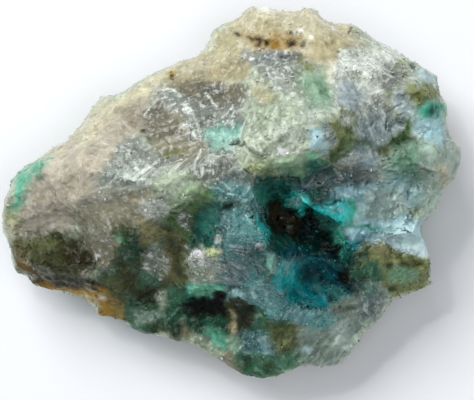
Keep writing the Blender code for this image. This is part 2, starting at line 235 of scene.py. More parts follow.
def mesh_points(mesh: Mesh) -> np.ndarray:
    """Reads the mesh's vertices, one row each."""
    flat = np.empty(len(mesh.vertices) * 3)
    mesh.vertices.foreach_get("co", flat)
    return flat.reshape(-1, 3)


def mesh_normals(mesh: Mesh) -> np.ndarray:
    """Reads the mesh's vertex normals, one row each."""
    flat = np.empty(len(mesh.vertices) * 3)
    mesh.vertices.foreach_get("normal", flat)
    return flat.reshape(-1, 3)


def move_points(mesh: Mesh, points: np.ndarray) -> None:
    """Puts the mesh's vertices at these points."""
    mesh.vertices.foreach_set("co", points.astype(np.float32).ravel())
    mesh.update()


def eased(mesh: Mesh, points: np.ndarray, rounds: int) -> np.ndarray:
    """Moves each point halfway to the mean of its neighbours, again and again.

    Args:
        mesh: The mesh whose edges join the points.
        points: The points, one for each of its vertices.
        rounds: How often they move.

    Returns:
        Where the points end.
    """
    ends = np.empty(len(mesh.edges) * 2, int)
    mesh.edges.foreach_get("vertices", ends)
    one, other = ends.reshape(-1, 2).T
    counts = np.bincount(ends, minlength=len(points))[:, None]
    points = points.copy()
    for _ in range(rounds):
        sums = np.zeros_like(points)
        np.add.at(sums, one, points[other])
        np.add.at(sums, other, points[one])
        points += (sums / counts - points) * 0.5
    return points


def keep_trait(mesh: Mesh, name: str, values: np.ndarray) -> None:
    """Keeps one number for each of the mesh's vertices, as an attribute."""
    mesh.attributes.new(name, "FLOAT", "POINT").data.foreach_set("value", values)


def settle_modifiers(piece: Object) -> None:
    """Makes a piece's evaluated mesh its own, and takes its modifiers off.

    Args:
        piece: The mesh object.
    """
    graph = bpy.context.evaluated_depsgraph_get()
    made = bpy.data.meshes.new_from_object(piece.evaluated_get(graph))
    piece.modifiers.clear()
    old = piece.data
    piece.data = made
    bpy.data.meshes.remove(old)


@dataclass(frozen=True)
class MineralFinish:
    """How one mineral looks on the broken stone.

    Attributes:
        dark: sRGB colour of its deepest tone.
        light: sRGB colour of its palest tone.
        speckle: How strongly its grains differ in tone.
        lean: How far its grains lean, which gives it its sparkle.
        rough: Roughness of a grain's face.
        veil: How much of it is crossed by white healed cracks.
        crust: Whether it is an earthy crust, and not glassy quartz.
        crystals: Small crystals that stand on a square millimetre of it.
        shards: Angular chips on a square millimetre of it.
        crumbs: Crumbs of oxide on a square millimetre of it.
        beads: Rounded beads of copper silicate on a square millimetre of it.
    """

    dark: str
    light: str
    speckle: float
    lean: float
    rough: float
    veil: float
    crust: float = 0.0
    crystals: float = 0.0
    shards: float = 0.0
    crumbs: float = 0.0
    beads: float = 0.0


class Mineral(Enum):
    """The minerals of the stone, each with its finish."""

    BEIGE = MineralFinish("#8b826b", "#d1cab9", 0.09, 0.25, 0.38, 0.30)
    CREAM = MineralFinish("#b5ad86", "#e7e6d6", 0.14, 0.35, 0.36, 0.20, shards=0.4)
    TAN = MineralFinish("#8b8260", "#ccc29a", 0.10, 0.25, 0.40, 0.12)
    SMOKY = MineralFinish("#6c6954", "#bdb797", 0.08, 0.28, 0.26, 0.35)
    GREY = MineralFinish("#646a60", "#bac2b8", 0.22, 0.55, 0.28, 0.75, crystals=0.2, shards=0.3)
    MILKY = MineralFinish("#8f9a8c", "#ebf1e7", 0.34, 0.75, 0.30, 0.60, crystals=0.5, shards=1.2)
    # White flakes of broken quartz, laid pure white as a painted highlight where the stone glints.
    PAINTED_GLINT = MineralFinish("#f4f6f4", "#ffffff", 0.05, 0.60, 0.16, 0.00, shards=3.0)
    PALE = MineralFinish("#839276", "#ccd6c3", 0.24, 0.55, 0.34, 0.50, shards=0.4)
    MINT = MineralFinish("#7a9e80", "#b6cbb2", 0.13, 0.35, 0.40, 0.30)
    CYAN = MineralFinish("#64a291", "#b7d7c7", 0.18, 0.40, 0.36, 0.35, crystals=0.5)
    TIP = MineralFinish("#41846f", "#86d0ac", 0.18, 0.40, 0.42, 0.05, 1, beads=0.3)
    TURQUOISE = MineralFinish("#02565f", "#24c6c1", 0.12, 0.25, 0.32, 0.05, 1, beads=0.35)
    TEAL = MineralFinish("#0c3631", "#409e88", 0.20, 0.40, 0.40, 0.08, 1, beads=0.12)
    JADE = MineralFinish("#214e37", "#8eb48e", 0.22, 0.42, 0.38, 0.15, 1)
    GREEN = MineralFinish("#152810", "#5a7d41", 0.30, 0.55, 0.42, 0.05, 1)
    OLIVE = MineralFinish("#383d1f", "#cad59b", 0.28, 0.45, 0.50, 0.05, 1, crumbs=1.0)
    OCHRE = MineralFinish("#4d390e", "#b58e3a", 0.22, 0.35, 0.62, 0.00, 1, crumbs=0.6)
    BROWN = MineralFinish("#282411", "#959064", 0.26, 0.42, 0.58, 0.08, 1, crumbs=0.8)
    RUST = MineralFinish("#0f0e07", "#736041", 0.30, 0.45, 0.60, 0.00, 1, crumbs=1.0)
    BLACK = MineralFinish("#030605", "#232a1e", 0.35, 0.60, 0.45, 0.00, 1, crumbs=0.5)
    DRUSE = MineralFinish("#224f4e", "#7fbab7", 0.34, 0.70, 0.30, 0.35, crystals=2.6)
    ICE = MineralFinish("#6a959e", "#c6e7e9", 0.08, 0.22, 0.34, 0.20)
    LILAC = MineralFinish("#556568", "#b2c4c7", 0.16, 0.40, 0.32, 0.35, crystals=0.6)
    LOBE = MineralFinish("#809686", "#d1e2d5", 0.08, 0.20, 0.34, 0.15)
    GLASS = MineralFinish("#66796b", "#c3d3cb", 0.08, 0.22, 0.28, 0.25)


@dataclass(frozen=True)
class Mark:
    """A place on the broad face that is one mineral.

    Attributes:
        name: What the place is.
        mineral: Its mineral.
        shade: Its tone: 0 is the mineral's dark and 1 its light, and it may lie a little past them.
        width: How wide its soft edge is, or the line itself, in millimetres.
        drawn: Its corners in plan, X and Y in turn, in tenths of a millimetre.
        share: How much of it covers what lies under it.
        rise: How far it stands up, or sinks, in millimetres.
    """

    name: str
    mineral: Mineral
    shade: float
    width: float
    drawn: list[float]
    share: float = 1.0
    rise: float = 0.0

    def cover(self, plan: np.ndarray, warp: np.ndarray) -> tuple[np.ndarray, np.ndarray]:
        """Finds how much of each point the mark covers.

        Args:
            plan: The points in plan, in millimetres.
            warp: How far a ragged edge strays at each point.

        Returns:
            The points it reaches, and its cover there from 0 to 1.
        """
        corners = np.array(self.drawn).reshape(-1, 2) / TENTHS
        margin = self._margin(corners)
        low, high = corners.min(0) - margin, corners.max(0) + margin
        near = np.flatnonzero(((plan > low) & (plan < high)).all(1))
        return near, self._fill(plan[near], warp[near], corners)


class Patch(Mark):
    """A mark that fills an outline and ends in a soft, ragged edge."""

    def _ragged(self, corners: np.ndarray) -> float:
        """Says how much of the warp its edge follows: a small patch strays less."""
        return float(np.clip(np.ptp(corners, axis=0).min() / 3, 0.25, 1))

    def _margin(self, corners: np.ndarray) -> float:
        """Says how far past its corners it may reach, in millimetres."""
        return 1.2 * (self.width + self._ragged(corners))

    def _fill(self, plan: np.ndarray, warp: np.ndarray, corners: np.ndarray) -> np.ndarray:
        """Works out the cover of the points near its outline, all in millimetres."""
        inside = outline_distance(plan + warp * self._ragged(corners), corners)
        return smoothstep(inside / (2.2 * self.width + 0.1) + 0.5) * self.share


class Vein(Mark):
    """A mark that follows a path: a healed crack, a ridge or an open seam."""

    def _margin(self, _corners: np.ndarray) -> float:
        """Says how far past its corners it may reach, in millimetres."""
        return 2 * self.width + 0.3

    def _fill(self, plan: np.ndarray, warp: np.ndarray, corners: np.ndarray) -> np.ndarray:
        """Works out the cover of the points near its path, with gaps where it breaks off.

        Args:
            plan: The near points in plan, in millimetres.
            warp: How far a ragged line strays at each of them.
            corners: The path, in millimetres.

        Returns:
            Its cover at each point, from 0 to 1.
        """
        strayed = plan + warp * 0.2
        away = np.full(len(plan), np.inf)
        for start, end in zip(corners[:-1], corners[1:]):
            away = np.minimum(away, line_distance(strayed, start, end))
        whole = smoothstep(1.1 + 6 * warp[:, 0] - 2 * warp[:, 1])
        return smoothstep((self.width / 2 - away) / 0.12 + 0.5) * self.share * whole


# The marks in the order they are laid. A row holds the values of a Mark in their order, and M is
# short for Mineral.
# Marks of the glint mineral are painted highlights, and marks named shadow or shade painted shade.
M = Mineral
GROUND = [
    ("low ground", M.JADE, 0, 1.2, [-140, -56, -102, -32, -42, -2, 0, -6, 18, -36, 30, -68, 68,
        -126, 58, -156, 18, -178, -16, -158, -82, -136, -114, -108, -136, -92]),
    ("pocket ground", M.TEAL, 0.2, 1, [18, 10, 68, 18, 118, 12, 120, -32, 130, -68, 124, -106, 88,
        -118, 44, -118, 22, -66]),
]
LEFT = [
    ("left mass", M.BEIGE, 0.6, 1, [-232, -6, -204, 34, -174, 56, -137, 79, -102, 102, -76, 108,
        -80, 64, -108, 44, -120, 4, -148, -12, -160, -40, -210, -44, -228, -28]),
    ("left edge glow", M.CREAM, 0.4, 0.9, [-188, 42, -162, 64, -132, 88, -100, 110, -60, 132, -56,
        116, -68, 104, -100, 88, -128, 70, -158, 44, -178, 34], 0.9),
    ("mid left pale", M.BEIGE, 0.6, 0.9, [-166, 44, -132, 60, -110, 46, -112, 18, -134, -2, -160, 2,
        -170, 24], 0.9),
    ("pale bulge", M.BEIGE, 0.8, 0.4, [-189, 28, -174, 36, -168, 28, -170, 6, -175, -6, -180, 12,
        -187, 13], 0.9, 0.08),
    ("bulge shadow", M.BROWN, -0.2, 0.5, oval(-192, 21, 4.5, 4.5), 0.6, -0.08),
    ("tan facet", M.BEIGE, 0.6, 0.3, [-199, 8, -184, 12, -174, 4, -172, -9, -184, -18, -201, -13]),
    ("brown streak", M.BEIGE, 0.2, 0.5, [-200, -12, -174, -10, -160, -18, -174, -22, -192,
        -20], 0.7),
    ("low pale", M.BEIGE, 0.8, 0.5, [-206, -22, -172, -20, -158, -27, -162, -38, -192, -38, -208,
        -35], 0.9),
    ("north west brown", M.BEIGE, -0.2, 0.8, [-116, 82, -92, 94, -86, 76, -92, 58, -110, 62], 0.8),
    ("teal tip", M.TIP, 0.6, 0.5, [-223, -16, -222, -2, -218, 14, -208, 25, -199, 32, -201, 36,
        -190, 36, -188, 31, -202, 18, -205, 4, -207, -6, -215, -18]),
    ("tip olive", M.OLIVE, 0.8, 0.5, [-228, -22, -218, -14, -212, -24, -214, -38, -224, -34], 0.7),
    ("tip pale", M.CREAM, 0.4, 0.4, oval(-219, -37, 5, 7), 0.8),
    ("mid grey brown", M.SMOKY, 0.4, 0.6, [-158, -9, -132, -4, -112, 0, -74, 8, -32, 14, -36, -2,
        -54, -14, -74, -28, -106, -38, -132, -42, -156, -32]),
    ("dark lip", M.SMOKY, -0.2, 0.4, [-150, -10, -132, -4, -106, 3, -72, 9, -74, 5, -108, -2, -136,
        -9, -148, -14], 0.8, -0.1),
    ("dim facet", M.SMOKY, 0.6, 0.4, [-138, -12, -120, -4, -108, -14, -114, -28, -128, -28], 0.7),
    ("brown grain", M.SMOKY, 0, 0.6, [-150, -38, -116, -36, -108, -64, -124, -78, -140, -70, -154,
        -52]),
    ("olive hollow", M.OLIVE, 0, 0.6, [-208, -42, -174, -37, -160, -42, -146, -56, -132, -72, -152,
        -85, -182, -83, -202, -70, -212, -54], 1, -0.1),
    ("olive hollow pale", M.OLIVE, 0.4, 0.7, oval(-190, -49, 15, 6), 0.8),
    ("hollow floor", M.BROWN, 0, 0.6, [-172, -49, -154, -46, -136, -68, -140, -76, -166, -74, -174,
        -62], 0.9, -0.1),
    ("hollow edge shade", M.BLACK, 0.2, 0.3, [-198, -68, -182, -70, -166, -74, -168, -77, -188,
        -75], 0.6, -0.1),
    ("left brown rim", M.BROWN, 0.6, 0.5, [-220, -44, -210, -42, -204, -56, -204, -68, -214, -68,
        -222, -58]),
    ("ochre rim", M.OCHRE, -0.2, 0.4, [-222, -68, -210, -66, -196, -74, -184, -86, -162, -90, -160,
        -100, -182, -102, -198, -96, -206, -84, -220, -78], 1, 0.1),
    ("ochre glow", M.OCHRE, 0.4, 0.4, [-220, -69, -208, -68, -198, -76, -200, -82, -212, -76], 0.9),
    ("ochre low glow", M.OCHRE, 0.8, 0.4, oval(-186, -92, 10, 4, -12), 0.8),
    ("olive brown", M.BROWN, 0, 0.6, [-188, -78, -152, -82, -128, -88, -114, -82, -110, -98, -132,
        -104, -156, -98, -176, -90]),
    ("rim ochre two", M.OCHRE, 1, 0.4, [-182, -96, -152, -95, -136, -102, -138, -108, -156,
        -102], 0.9),
    ("pale pebble", M.SMOKY, -0.2, 0.3, oval(-145, -80, 7, 6, -10), 0.9, 0.1),
    ("lower brown", M.OCHRE, 0.8, 0.5, [-142, -102, -120, -94, -108, -106, -106, -128, -134, -128]),
    ("lower brown dull", M.BROWN, 0.8, 0.5, [-128, -106, -108, -102, -102, -124, -122, -126], 0.7),
    ("olive green low", M.OLIVE, 0.2, 0.5, [-128, -82, -110, -82, -100, -106, -110, -110, -126,
        -100], 0.9),
    ("rim pebble", M.CREAM, 0.6, 0.2, oval(-131, -103, 3, 2, -10), 0.9, 0.1),
    ("glassy prism grey", M.GREY, 0.6, 0.6, [-114, 52, -92, 57, -80, 46, -74, 32, -66, 12, -110, 6,
        -134, 2, -128, 22, -118, 38]),
    ("blue grey facet", M.GREY, 0.4, 0.3, [-108, 52, -92, 54, -84, 40, -88, 30, -102, 34, -112,
        42], 0.9),
    ("white grain", M.MILKY, 0.2, 0.5, [-114, 34, -98, 34, -74, 30, -72, 14, -108, 8, -132, 4, -126,
        20], 0.9),
]
MIDDLE = [
    ("centre base", M.GREY, 0.4, 0.8, [-80, 104, -32, 110, 18, 110, 20, 64, 8, 34, 0, 12, -32, 10,
        -46, -2, -70, 8, -82, 44]),
    ("tan fold", M.SMOKY, 0.4, 0.5, [-82, 58, -56, 62, -34, 53, -28, 40, -48, 32, -72, 34, -80,
        46]),
    ("prism facet", M.SMOKY, 0, 0.2, [-74, 91, -62, 76, -52, 64, -56, 59, -82, 58, -91, 63, -87,
        75]),
    ("prism foot", M.SMOKY, -0.2, 0.3, [-89, 62, -80, 60, -60, 59, -72, 55, -84, 57], 0.8),
    ("prism right", M.SMOKY, 0.4, 0.3, [-70, 89, -56, 80, -44, 62, -50, 58, -56, 66], 0.9),
    ("fold shade", M.OLIVE, 0.6, 0.3, [-71, 38, -62, 43, -48, 46, -46, 42, -62, 35, -70,
        32], 0.9, -0.15),
    ("smoky facet", M.SMOKY, 0, 0.3, [-66, 110, -60, 114, 14, 115, 16, 96, 8, 86, -10, 84, -28, 88,
        -48, 92, -56, 102]),
    ("smoky blue", M.GREY, -0.4, 0.5, [-32, 106, -12, 108, -10, 98, -28, 97], 0.8),
    ("striped quartz", M.GREY, 0.2, 0.5, [-48, 90, 8, 88, 18, 76, 18, 64, -26, 64, -36, 54, -42,
        72]),
    ("stripe pale", M.MILKY, -0.2, 0.5, [-48, 86, -36, 82, -28, 64, -32, 48, -40, 56], 0.6),
    ("beige crest", M.TAN, 0.4, 0.6, [-66, 110, -58, 126, -34, 138, 8, 142, 20, 134, 20, 115, -32,
        113]),
    ("beige crest pale", M.CREAM, 0.6, 0.6, [-56, 126, -36, 134, -18, 132, -32, 122, -50,
        118], 0.7),
    ("beige crest dusk", M.TAN, -0.4, 0.5, [-18, 142, 10, 142, 12, 132, 0, 128, -14, 134], 0.7),
    ("north speck halo", M.OCHRE, 1.2, 0.3, oval(-61, 119, 3, 5, -10), 0.6),
    ("north speck", M.BLACK, 0.4, 0.15, oval(-61, 117, 2.2, 2.8, -20), 1, -0.15),
    ("left speck", M.BLACK, 0, 0.15, oval(-90, 63, 2, 1.5), 1, -0.15),
    ("cyan skin", M.CYAN, 0.2, 0.4, [-29, 58, -24, 64, -14, 68, 8, 68, 13, 62, 10, 50, -2, 44, -20,
        46, -29, 52], 0.85),
    ("cyan core", M.CYAN, 0.6, 0.3, [-27, 60, -10, 60, 8, 62, 10, 57, -2, 55, -18, 55, -27,
        57], 0.9),
    ("cyan lower", M.CYAN, 0.8, 0.3, [-16, 51, 0, 52, 8, 50, 0, 44, -12, 45], 0.8),
    ("speck line", M.BLACK, 0, 0.12, [-1, 49, 3, 52, 7, 55, 8, 53, 4, 50, 1, 47], 1, -0.2),
    ("speck a", M.BLACK, 0.2, 0.12, oval(-10, 45, 1.6, 1.3), 1, -0.15),
    ("speck b", M.BLACK, 0.4, 0.12, oval(10, 50, 1.6, 1.2), 1, -0.15),
    ("speck c", M.BLACK, 0.2, 0.12, oval(2, 33, 1.5, 1.2), 1, -0.15),
    ("speck d", M.BLACK, 0.6, 0.15, oval(-24, 48, 2, 1.4, 30), 0.9, -0.15),
    ("speck e", M.BLACK, 0.6, 0.15, oval(-20, 37, 1.3, 1.8), 0.8, -0.1),
    ("cream sill", M.MILKY, 0.4, 0.3, [-28, 46, -20, 44, -12, 39, 6, 42, 14, 44, 6, 36, -12, 34,
        -22, 38], 0.9, 0.1),
    ("lilac facet", M.GREY, 0.2, 0.4, [-44, 32, -28, 36, -2, 34, 0, 22, -6, 12, -28, 10, -40, 18]),
    ("green plate", M.PALE, 0.2, 0.5, [-82, 10, -56, 28, -36, 16, -18, 12, -20, 2, -36, -4, -52,
        -12, -72, -20, -84, -14], 0.9),
    ("green plate low", M.JADE, 1.2, 0.4, [-52, 2, -36, 10, -32, 4, -48, -12, -70, -18, -60,
        -6], 0.7),
    ("green plate pale", M.PALE, 0.6, 0.4, [-70, 22, -54, 26, -48, 12, -56, 2, -68, 2], 0.8, 0.05),
]
CROWN = [
    ("crown body", M.CREAM, 0.4, 0.7, [-28, 132, -24, 156, -8, 174, 8, 188, 32, 192, 70, 188, 102,
        182, 118, 170, 124, 148, 118, 130, 68, 132, 8, 138]),
    ("crown left", M.CREAM, -0.2, 0.6, [-24, 138, -20, 156, -6, 168, 8, 172, 8, 160, 0, 148, 8, 140,
        -10, 138], 0.8),
    ("crown rim green", M.PALE, 0.8, 0.5, [-26, 144, -24, 158, -10, 170, -4, 168, -16, 156, -20,
        142], 0.6),
    ("crown top", M.CREAM, 0.2, 0.5, [12, 186, 28, 186, 50, 182, 56, 170, 38, 164, 18, 166, 12,
        176], 0.8),
    ("crown tan", M.TAN, 0.6, 0.5, [24, 170, 44, 172, 52, 162, 44, 156, 28, 157]),
    ("crown white", M.CREAM, 1.2, 0.3, [24, 187, 36, 188, 40, 183, 26, 182], 0.9, 0.08),
    ("crown speckle", M.CREAM, 0.4, 0.5, [50, 172, 68, 174, 80, 164, 80, 154, 64, 152, 52,
        160], 0.8),
    ("tan nodules", M.TAN, 0.8, 0.5, [76, 156, 92, 163, 114, 164, 116, 144, 110, 134, 88, 132, 78,
        140], 1, 0.05),
    ("nodule dusk", M.TAN, -0.2, 0.4, [100, 144, 112, 146, 112, 135, 102, 134], 0.8),
    ("ochre band", M.OCHRE, 0.8, 0.5, [7, 159, 30, 160, 52, 161, 68, 158, 68, 148, 46, 143, 30, 144,
        18, 150, 8, 154], 0.75, -0.1),
    ("pink grain", M.CREAM, 0.4, 0.3, oval(32, 158, 5, 2.5), 0.8, 0.05),
    ("oxide nick", M.BLACK, -0.2, 0.14, [2, 161, 4, 160, 6, 160, 8, 157, 5, 155, 2, 158], 1, -0.25),
    ("oxide a", M.BLACK, -0.2, 0.16, [14, 156, 20, 156, 24, 156, 25, 154, 18, 153], 1, -0.2),
    ("oxide b", M.BLACK, 0, 0.18, [23, 156, 29, 157, 29, 153, 27, 147, 24, 148, 25, 152], 1, -0.2),
    ("oxide c", M.BLACK, -0.4, 0.18, [30, 153, 37, 154, 36, 148, 31, 146], 1, -0.2),
    ("oxide d", M.BROWN, 0.4, 0.2, oval(42, 150, 5, 3, -20), 0.9, -0.15),
    ("oxide e", M.BLACK, -0.4, 0.18, [53, 153, 60, 154, 63, 150, 58, 147, 54, 148], 1, -0.25),
    ("oxide f", M.BLACK, 0.2, 0.16, oval(57, 161, 2.6, 1.6), 0.9, -0.15),
    ("oxide g", M.BROWN, 0.4, 0.2, oval(71, 150, 2.5, 3.5, -20), 0.9, -0.1),
    ("oxide h", M.BROWN, 0.4, 0.2, oval(68, 140, 2.4, 2), 0.8, -0.1),
    ("oxide i", M.BROWN, 0.4, 0.4, [52, 138, 64, 140, 74, 136, 68, 132, 54, 133], 0.8, -0.1),
    ("ochre lump", M.OCHRE, 0.8, 0.3, oval(42, 148, 5, 4), 0.9, 0.05),
    ("grey shelf", M.GREY, 0, 0.5, [11, 144, 26, 143, 46, 142, 58, 144, 66, 138, 60, 128, 30, 128,
        14, 132]),
    ("lilac shelf", M.LILAC, 0.6, 0.5, [14, 142, 30, 140, 48, 140, 50, 134, 24, 132], 0.5),
    ("dusk under nodules", M.OLIVE, 0.6, 0.5, [64, 134, 78, 132, 84, 122, 72, 120, 64, 126], 0.9),
    # Painted highlights: white flakes laid where the crown glints.
    ("glint a", M.PAINTED_GLINT, 1, 0.14, oval(13, 138, 1.3, 2), 1, 0.1),
    ("glint b", M.PAINTED_GLINT, 1, 0.14, oval(19, 135, 2.6, 1.8, 20), 1, 0.1),
    ("glint c", M.PAINTED_GLINT, 1, 0.14, oval(52, 141, 1.4, 1.8), 1, 0.1),
    ("glint d", M.PAINTED_GLINT, 1, 0.13, [64, 163, 68, 165, 70, 163, 67, 160], 0.9, 0.1),
    ("glint e", M.PAINTED_GLINT, 1, 0.13, oval(78, 157, 2, 1.3, -30), 0.9, 0.1),
    ("glint f", M.PAINTED_GLINT, 1, 0.13, oval(101, 165, 2, 1), 0.9, 0.1),
]
PLATE = [
    ("grey facet", M.GREY, 0.6, 0.5, [30, 128, 60, 132, 70, 122, 68, 96, 50, 94, 34, 110]),
    ("green grey facet", M.PALE, -0.2, 0.5, [64, 128, 74, 122, 76, 98, 64, 96, 58, 110], 0.8),
    ("cream granular", M.PALE, 0.4, 0.6, [12, 114, 32, 116, 52, 102, 52, 86, 30, 82, 14, 86]),
    ("cream granular warm", M.CREAM, 0, 0.5, [20, 110, 34, 108, 46, 100, 40, 90, 24, 94], 0.8),
    ("yellow pit", M.OLIVE, 0.2, 0.3, [23, 89, 34, 89, 44, 95, 48, 93, 44, 87, 30, 85], 0.9, -0.15),
    ("pale mass", M.PALE, 0.6, 0.6, [12, 82, 32, 86, 68, 92, 92, 86, 102, 72, 98, 52, 86, 40, 66,
        34, 36, 30, 14, 34, 6, 44, 14, 64]),
    ("pale mass light", M.PALE, 0.4, 0.5, [44, 88, 66, 90, 74, 78, 64, 68, 48, 72], 0.8, 0.05),
    ("pale mass olive", M.PALE, 0.2, 0.6, [20, 82, 42, 84, 48, 70, 40, 60, 22, 64], 0.8),
    ("pale mass white", M.MILKY, 0.6, 0.5, [66, 90, 86, 90, 94, 82, 80, 74, 68, 80], 0.7),
    ("pale mass grain", M.MILKY, 0.4, 0.6, [44, 68, 68, 72, 76, 58, 60, 50, 46, 54], 0.6),
    ("grey dip", M.PALE, -0.2, 0.5, [18, 44, 32, 44, 36, 34, 24, 32], 0.7, -0.05),
    ("green stain", M.MINT, 0.4, 0.6, [68, 114, 82, 121, 98, 114, 110, 100, 106, 88, 88, 84, 72,
        92]),
    ("green stain dusk", M.JADE, 0.8, 0.4, [86, 110, 102, 106, 108, 96, 100, 94, 88, 100], 0.7),
    ("ice corner", M.ICE, 0.8, 0.3, [79, 66, 90, 64, 95, 54, 94, 45, 86, 42, 79, 46]),
    ("lilac corner", M.LILAC, 0.4, 0.3, [86, 73, 96, 70, 104, 62, 104, 54, 96, 52, 90, 60], 0.9),
    ("speckled cream", M.CREAM, 0.6, 0.5, [86, 132, 110, 134, 118, 122, 116, 110, 108, 102, 96,
        112], 0.9),
    # Painted highlights: a white flake and a streak laid where the plate glints.
    ("bright glint", M.PAINTED_GLINT, 1, 0.16, [45, 45, 49, 47, 54, 44, 51, 39, 46, 39], 1, 0.1),
    ("glint streak", M.PAINTED_GLINT, 1, 0.12, [54, 42, 64, 45, 66, 43, 56, 40], 0.8, 0.08),
    ("ledge olive", M.OLIVE, 0.8, 0.5, [12, 32, 30, 34, 44, 28, 44, 20, 30, 16, 16, 22], 0.9),
    ("ledge jade", M.JADE, 1, 0.5, [30, 30, 52, 34, 70, 38, 84, 42, 98, 38, 98, 28, 84, 22, 68, 18,
        46, 20]),
    ("ledge jade pale", M.JADE, 1.2, 0.4, [38, 34, 64, 39, 72, 36, 48, 29], 0.7),
    ("ledge teal bright", M.TIP, 1.2, 0.3, oval(79, 38, 5, 3.5, -20), 0.9),
    ("ledge teal deep", M.TEAL, 0.6, 0.3, [73, 32, 84, 34, 86, 26, 80, 21, 74, 26], 1, -0.1),
    ("ledge turquoise", M.TEAL, 0.8, 0.3, [86, 34, 98, 36, 100, 28, 90, 25], 0.9),
]
EAST = [
    ("white granular", M.MILKY, 0.8, 0.6, [110, 142, 134, 146, 164, 150, 172, 136, 160, 114, 154,
        88, 132, 80, 108, 84, 104, 102, 98, 122]),
    ("white crest", M.MILKY, 1, 0.4, [114, 128, 128, 136, 140, 134, 134, 122, 118, 118], 0.8, 0.08),
    ("white crest two", M.MILKY, 0.6, 0.4, [128, 110, 138, 114, 142, 98, 136, 86, 128,
        90], 0.7, 0.08),
    ("green grain", M.PALE, 0.8, 0.5, [118, 122, 132, 122, 130, 112, 118, 114], 0.6),
    ("blue grain", M.LILAC, 0.8, 0.5, [108, 110, 124, 112, 130, 96, 122, 82, 108, 90], 0.9, -0.05),
    ("grey granular", M.GREY, 0.2, 0.6, [150, 128, 166, 132, 172, 110, 164, 94, 152, 98, 144, 114]),
    ("grey band", M.GREY, 0.4, 0.5, [134, 102, 154, 94, 156, 78, 140, 78], 0.8),
    ("olive fleck", M.OLIVE, 0.6, 0.3, [154, 102, 161, 104, 164, 94, 156, 90, 153, 96], 0.9),
    ("pink fleck", M.RUST, 1, 0.2, oval(153, 86, 2.2, 4), 0.8),
    ("olive crag", M.OLIVE, 0.6, 0.5, [170, 106, 184, 112, 200, 110, 208, 98, 194, 88, 174, 90]),
    ("pale scarp", M.ICE, 0.8, 0.5, [182, 126, 200, 122, 210, 112, 192, 112, 182, 118], 0.8),
    ("olive tip", M.OLIVE, 0.8, 0.3, oval(167, 131, 5, 3, 30), 0.9),
    ("olive knot", M.OLIVE, 0, 0.25, oval(180, 126, 3.6, 3.6), 0.9, -0.1),
    ("olive bit", M.OLIVE, 0.2, 0.25, oval(173, 118, 4, 3, -20), 0.8, -0.08),
    ("lilac band", M.LILAC, 1, 0.5, [160, 102, 172, 98, 184, 90, 186, 80, 172, 78, 160, 88], 0.9),
    ("lilac dusk", M.LILAC, -0.4, 0.4, oval(168, 98, 5, 4, 30), 0.7),
    ("copper spot", M.TEAL, 1.2, 0.5, [186, 90, 200, 92, 214, 86, 212, 72, 196, 70, 188,
        78], 1, -0.1),
    ("copper spot deep", M.TEAL, 0.2, 0.4, [195, 84, 204, 88, 209, 82, 208, 72, 198,
        73], 0.9, -0.1),
    ("ice scarp", M.ICE, 0.6, 0.5, [184, 78, 198, 70, 212, 72, 218, 54, 208, 46, 188, 54, 180, 66]),
    ("ice scarp pale", M.ICE, 0.6, 0.5, [174, 78, 186, 74, 188, 56, 176, 62], 0.7),
    ("lilac block", M.LILAC, -0.2, 0.3, [160, 77, 172, 77, 173, 68, 161, 67], 1, -0.1),
    ("lilac sill", M.LILAC, 1, 0.3, [152, 68, 172, 68, 170, 61, 154, 62], 0.8, 0.08),
    ("dark edge", M.GREEN, 0.6, 0.3, [172, 76, 178, 77, 179, 62, 174, 58, 170, 61], 1, -0.15),
    ("olive cluster", M.OLIVE, 0.6, 0.5, [95, 72, 104, 80, 120, 83, 126, 72, 122, 56, 112, 44, 104,
        34, 92, 34, 98, 48, 104, 58, 98, 66], 1, -0.08),
    ("cluster grain", M.MILKY, 1, 0.4, [108, 78, 120, 78, 120, 70, 110, 70], 0.7, 0.05),
    ("cluster black", M.GREEN, 0.6, 0.3, [112, 66, 121, 67, 120, 58, 112, 57], 0.8, -0.1),
    ("grey scree", M.LILAC, 0.4, 0.6, [124, 80, 154, 82, 162, 54, 150, 36, 140, 18, 120, 24, 112,
        34, 124, 52], 0.9),
    ("grey wedge", M.GREY, 1.2, 0.3, [102, 34, 120, 39, 140, 42, 136, 36, 118, 28, 104,
        26], 0.9, 0.08),
    ("dark moss", M.GREEN, 0.4, 0.4, [154, 52, 164, 62, 172, 64, 181, 58, 184, 47, 168, 43, 156,
        44], 1, -0.08),
    ("lobe", M.LOBE, 0.4, 0.7, [152, 40, 168, 46, 184, 52, 208, 54, 234, 42, 236, 24, 224, 8, 212,
        -8, 198, -24, 176, -20, 162, -2, 146, 16]),
    ("lobe green", M.JADE, 0.4, 0.8, [160, 44, 182, 50, 192, 34, 186, 6, 166, 8, 156, 26], 0.8),
    ("lobe lilac", M.LILAC, -0.4, 0.6, oval(194, 29, 7, 6), 0.5),
    ("lobe olive", M.TAN, 0.8, 0.5, [204, 28, 218, 28, 218, 8, 208, 4], 0.7),
    ("lobe olive low", M.OLIVE, 0.4, 0.5, oval(180, -16, 10, 4, 20), 0.7),
    ("lobe blue", M.ICE, 0.2, 0.8, [152, 22, 172, 18, 188, 10, 188, -6, 168, -6, 154, 4], 0.6),
    ("dark sill", M.GREEN, 0.6, 0.3, [96, 42, 108, 53, 120, 56, 142, 51, 142, 44, 120, 38, 106, 36,
        98, 34], 0.8, -0.05),
    ("sill shadow", M.BROWN, 0.6, 0.4, [90, 28, 108, 33, 128, 30, 132, 22, 118, 14, 94,
        14], 0.7, -0.05),
    ("ochre nook", M.OLIVE, 0.2, 0.25, [144, 47, 154, 51, 160, 46, 157, 38, 147, 39], 0.9),
    ("lilac quartz", M.LILAC, 0.6, 0.5, [126, 44, 142, 46, 146, 34, 140, 18, 128, 22, 120,
        32], 0.7),
]
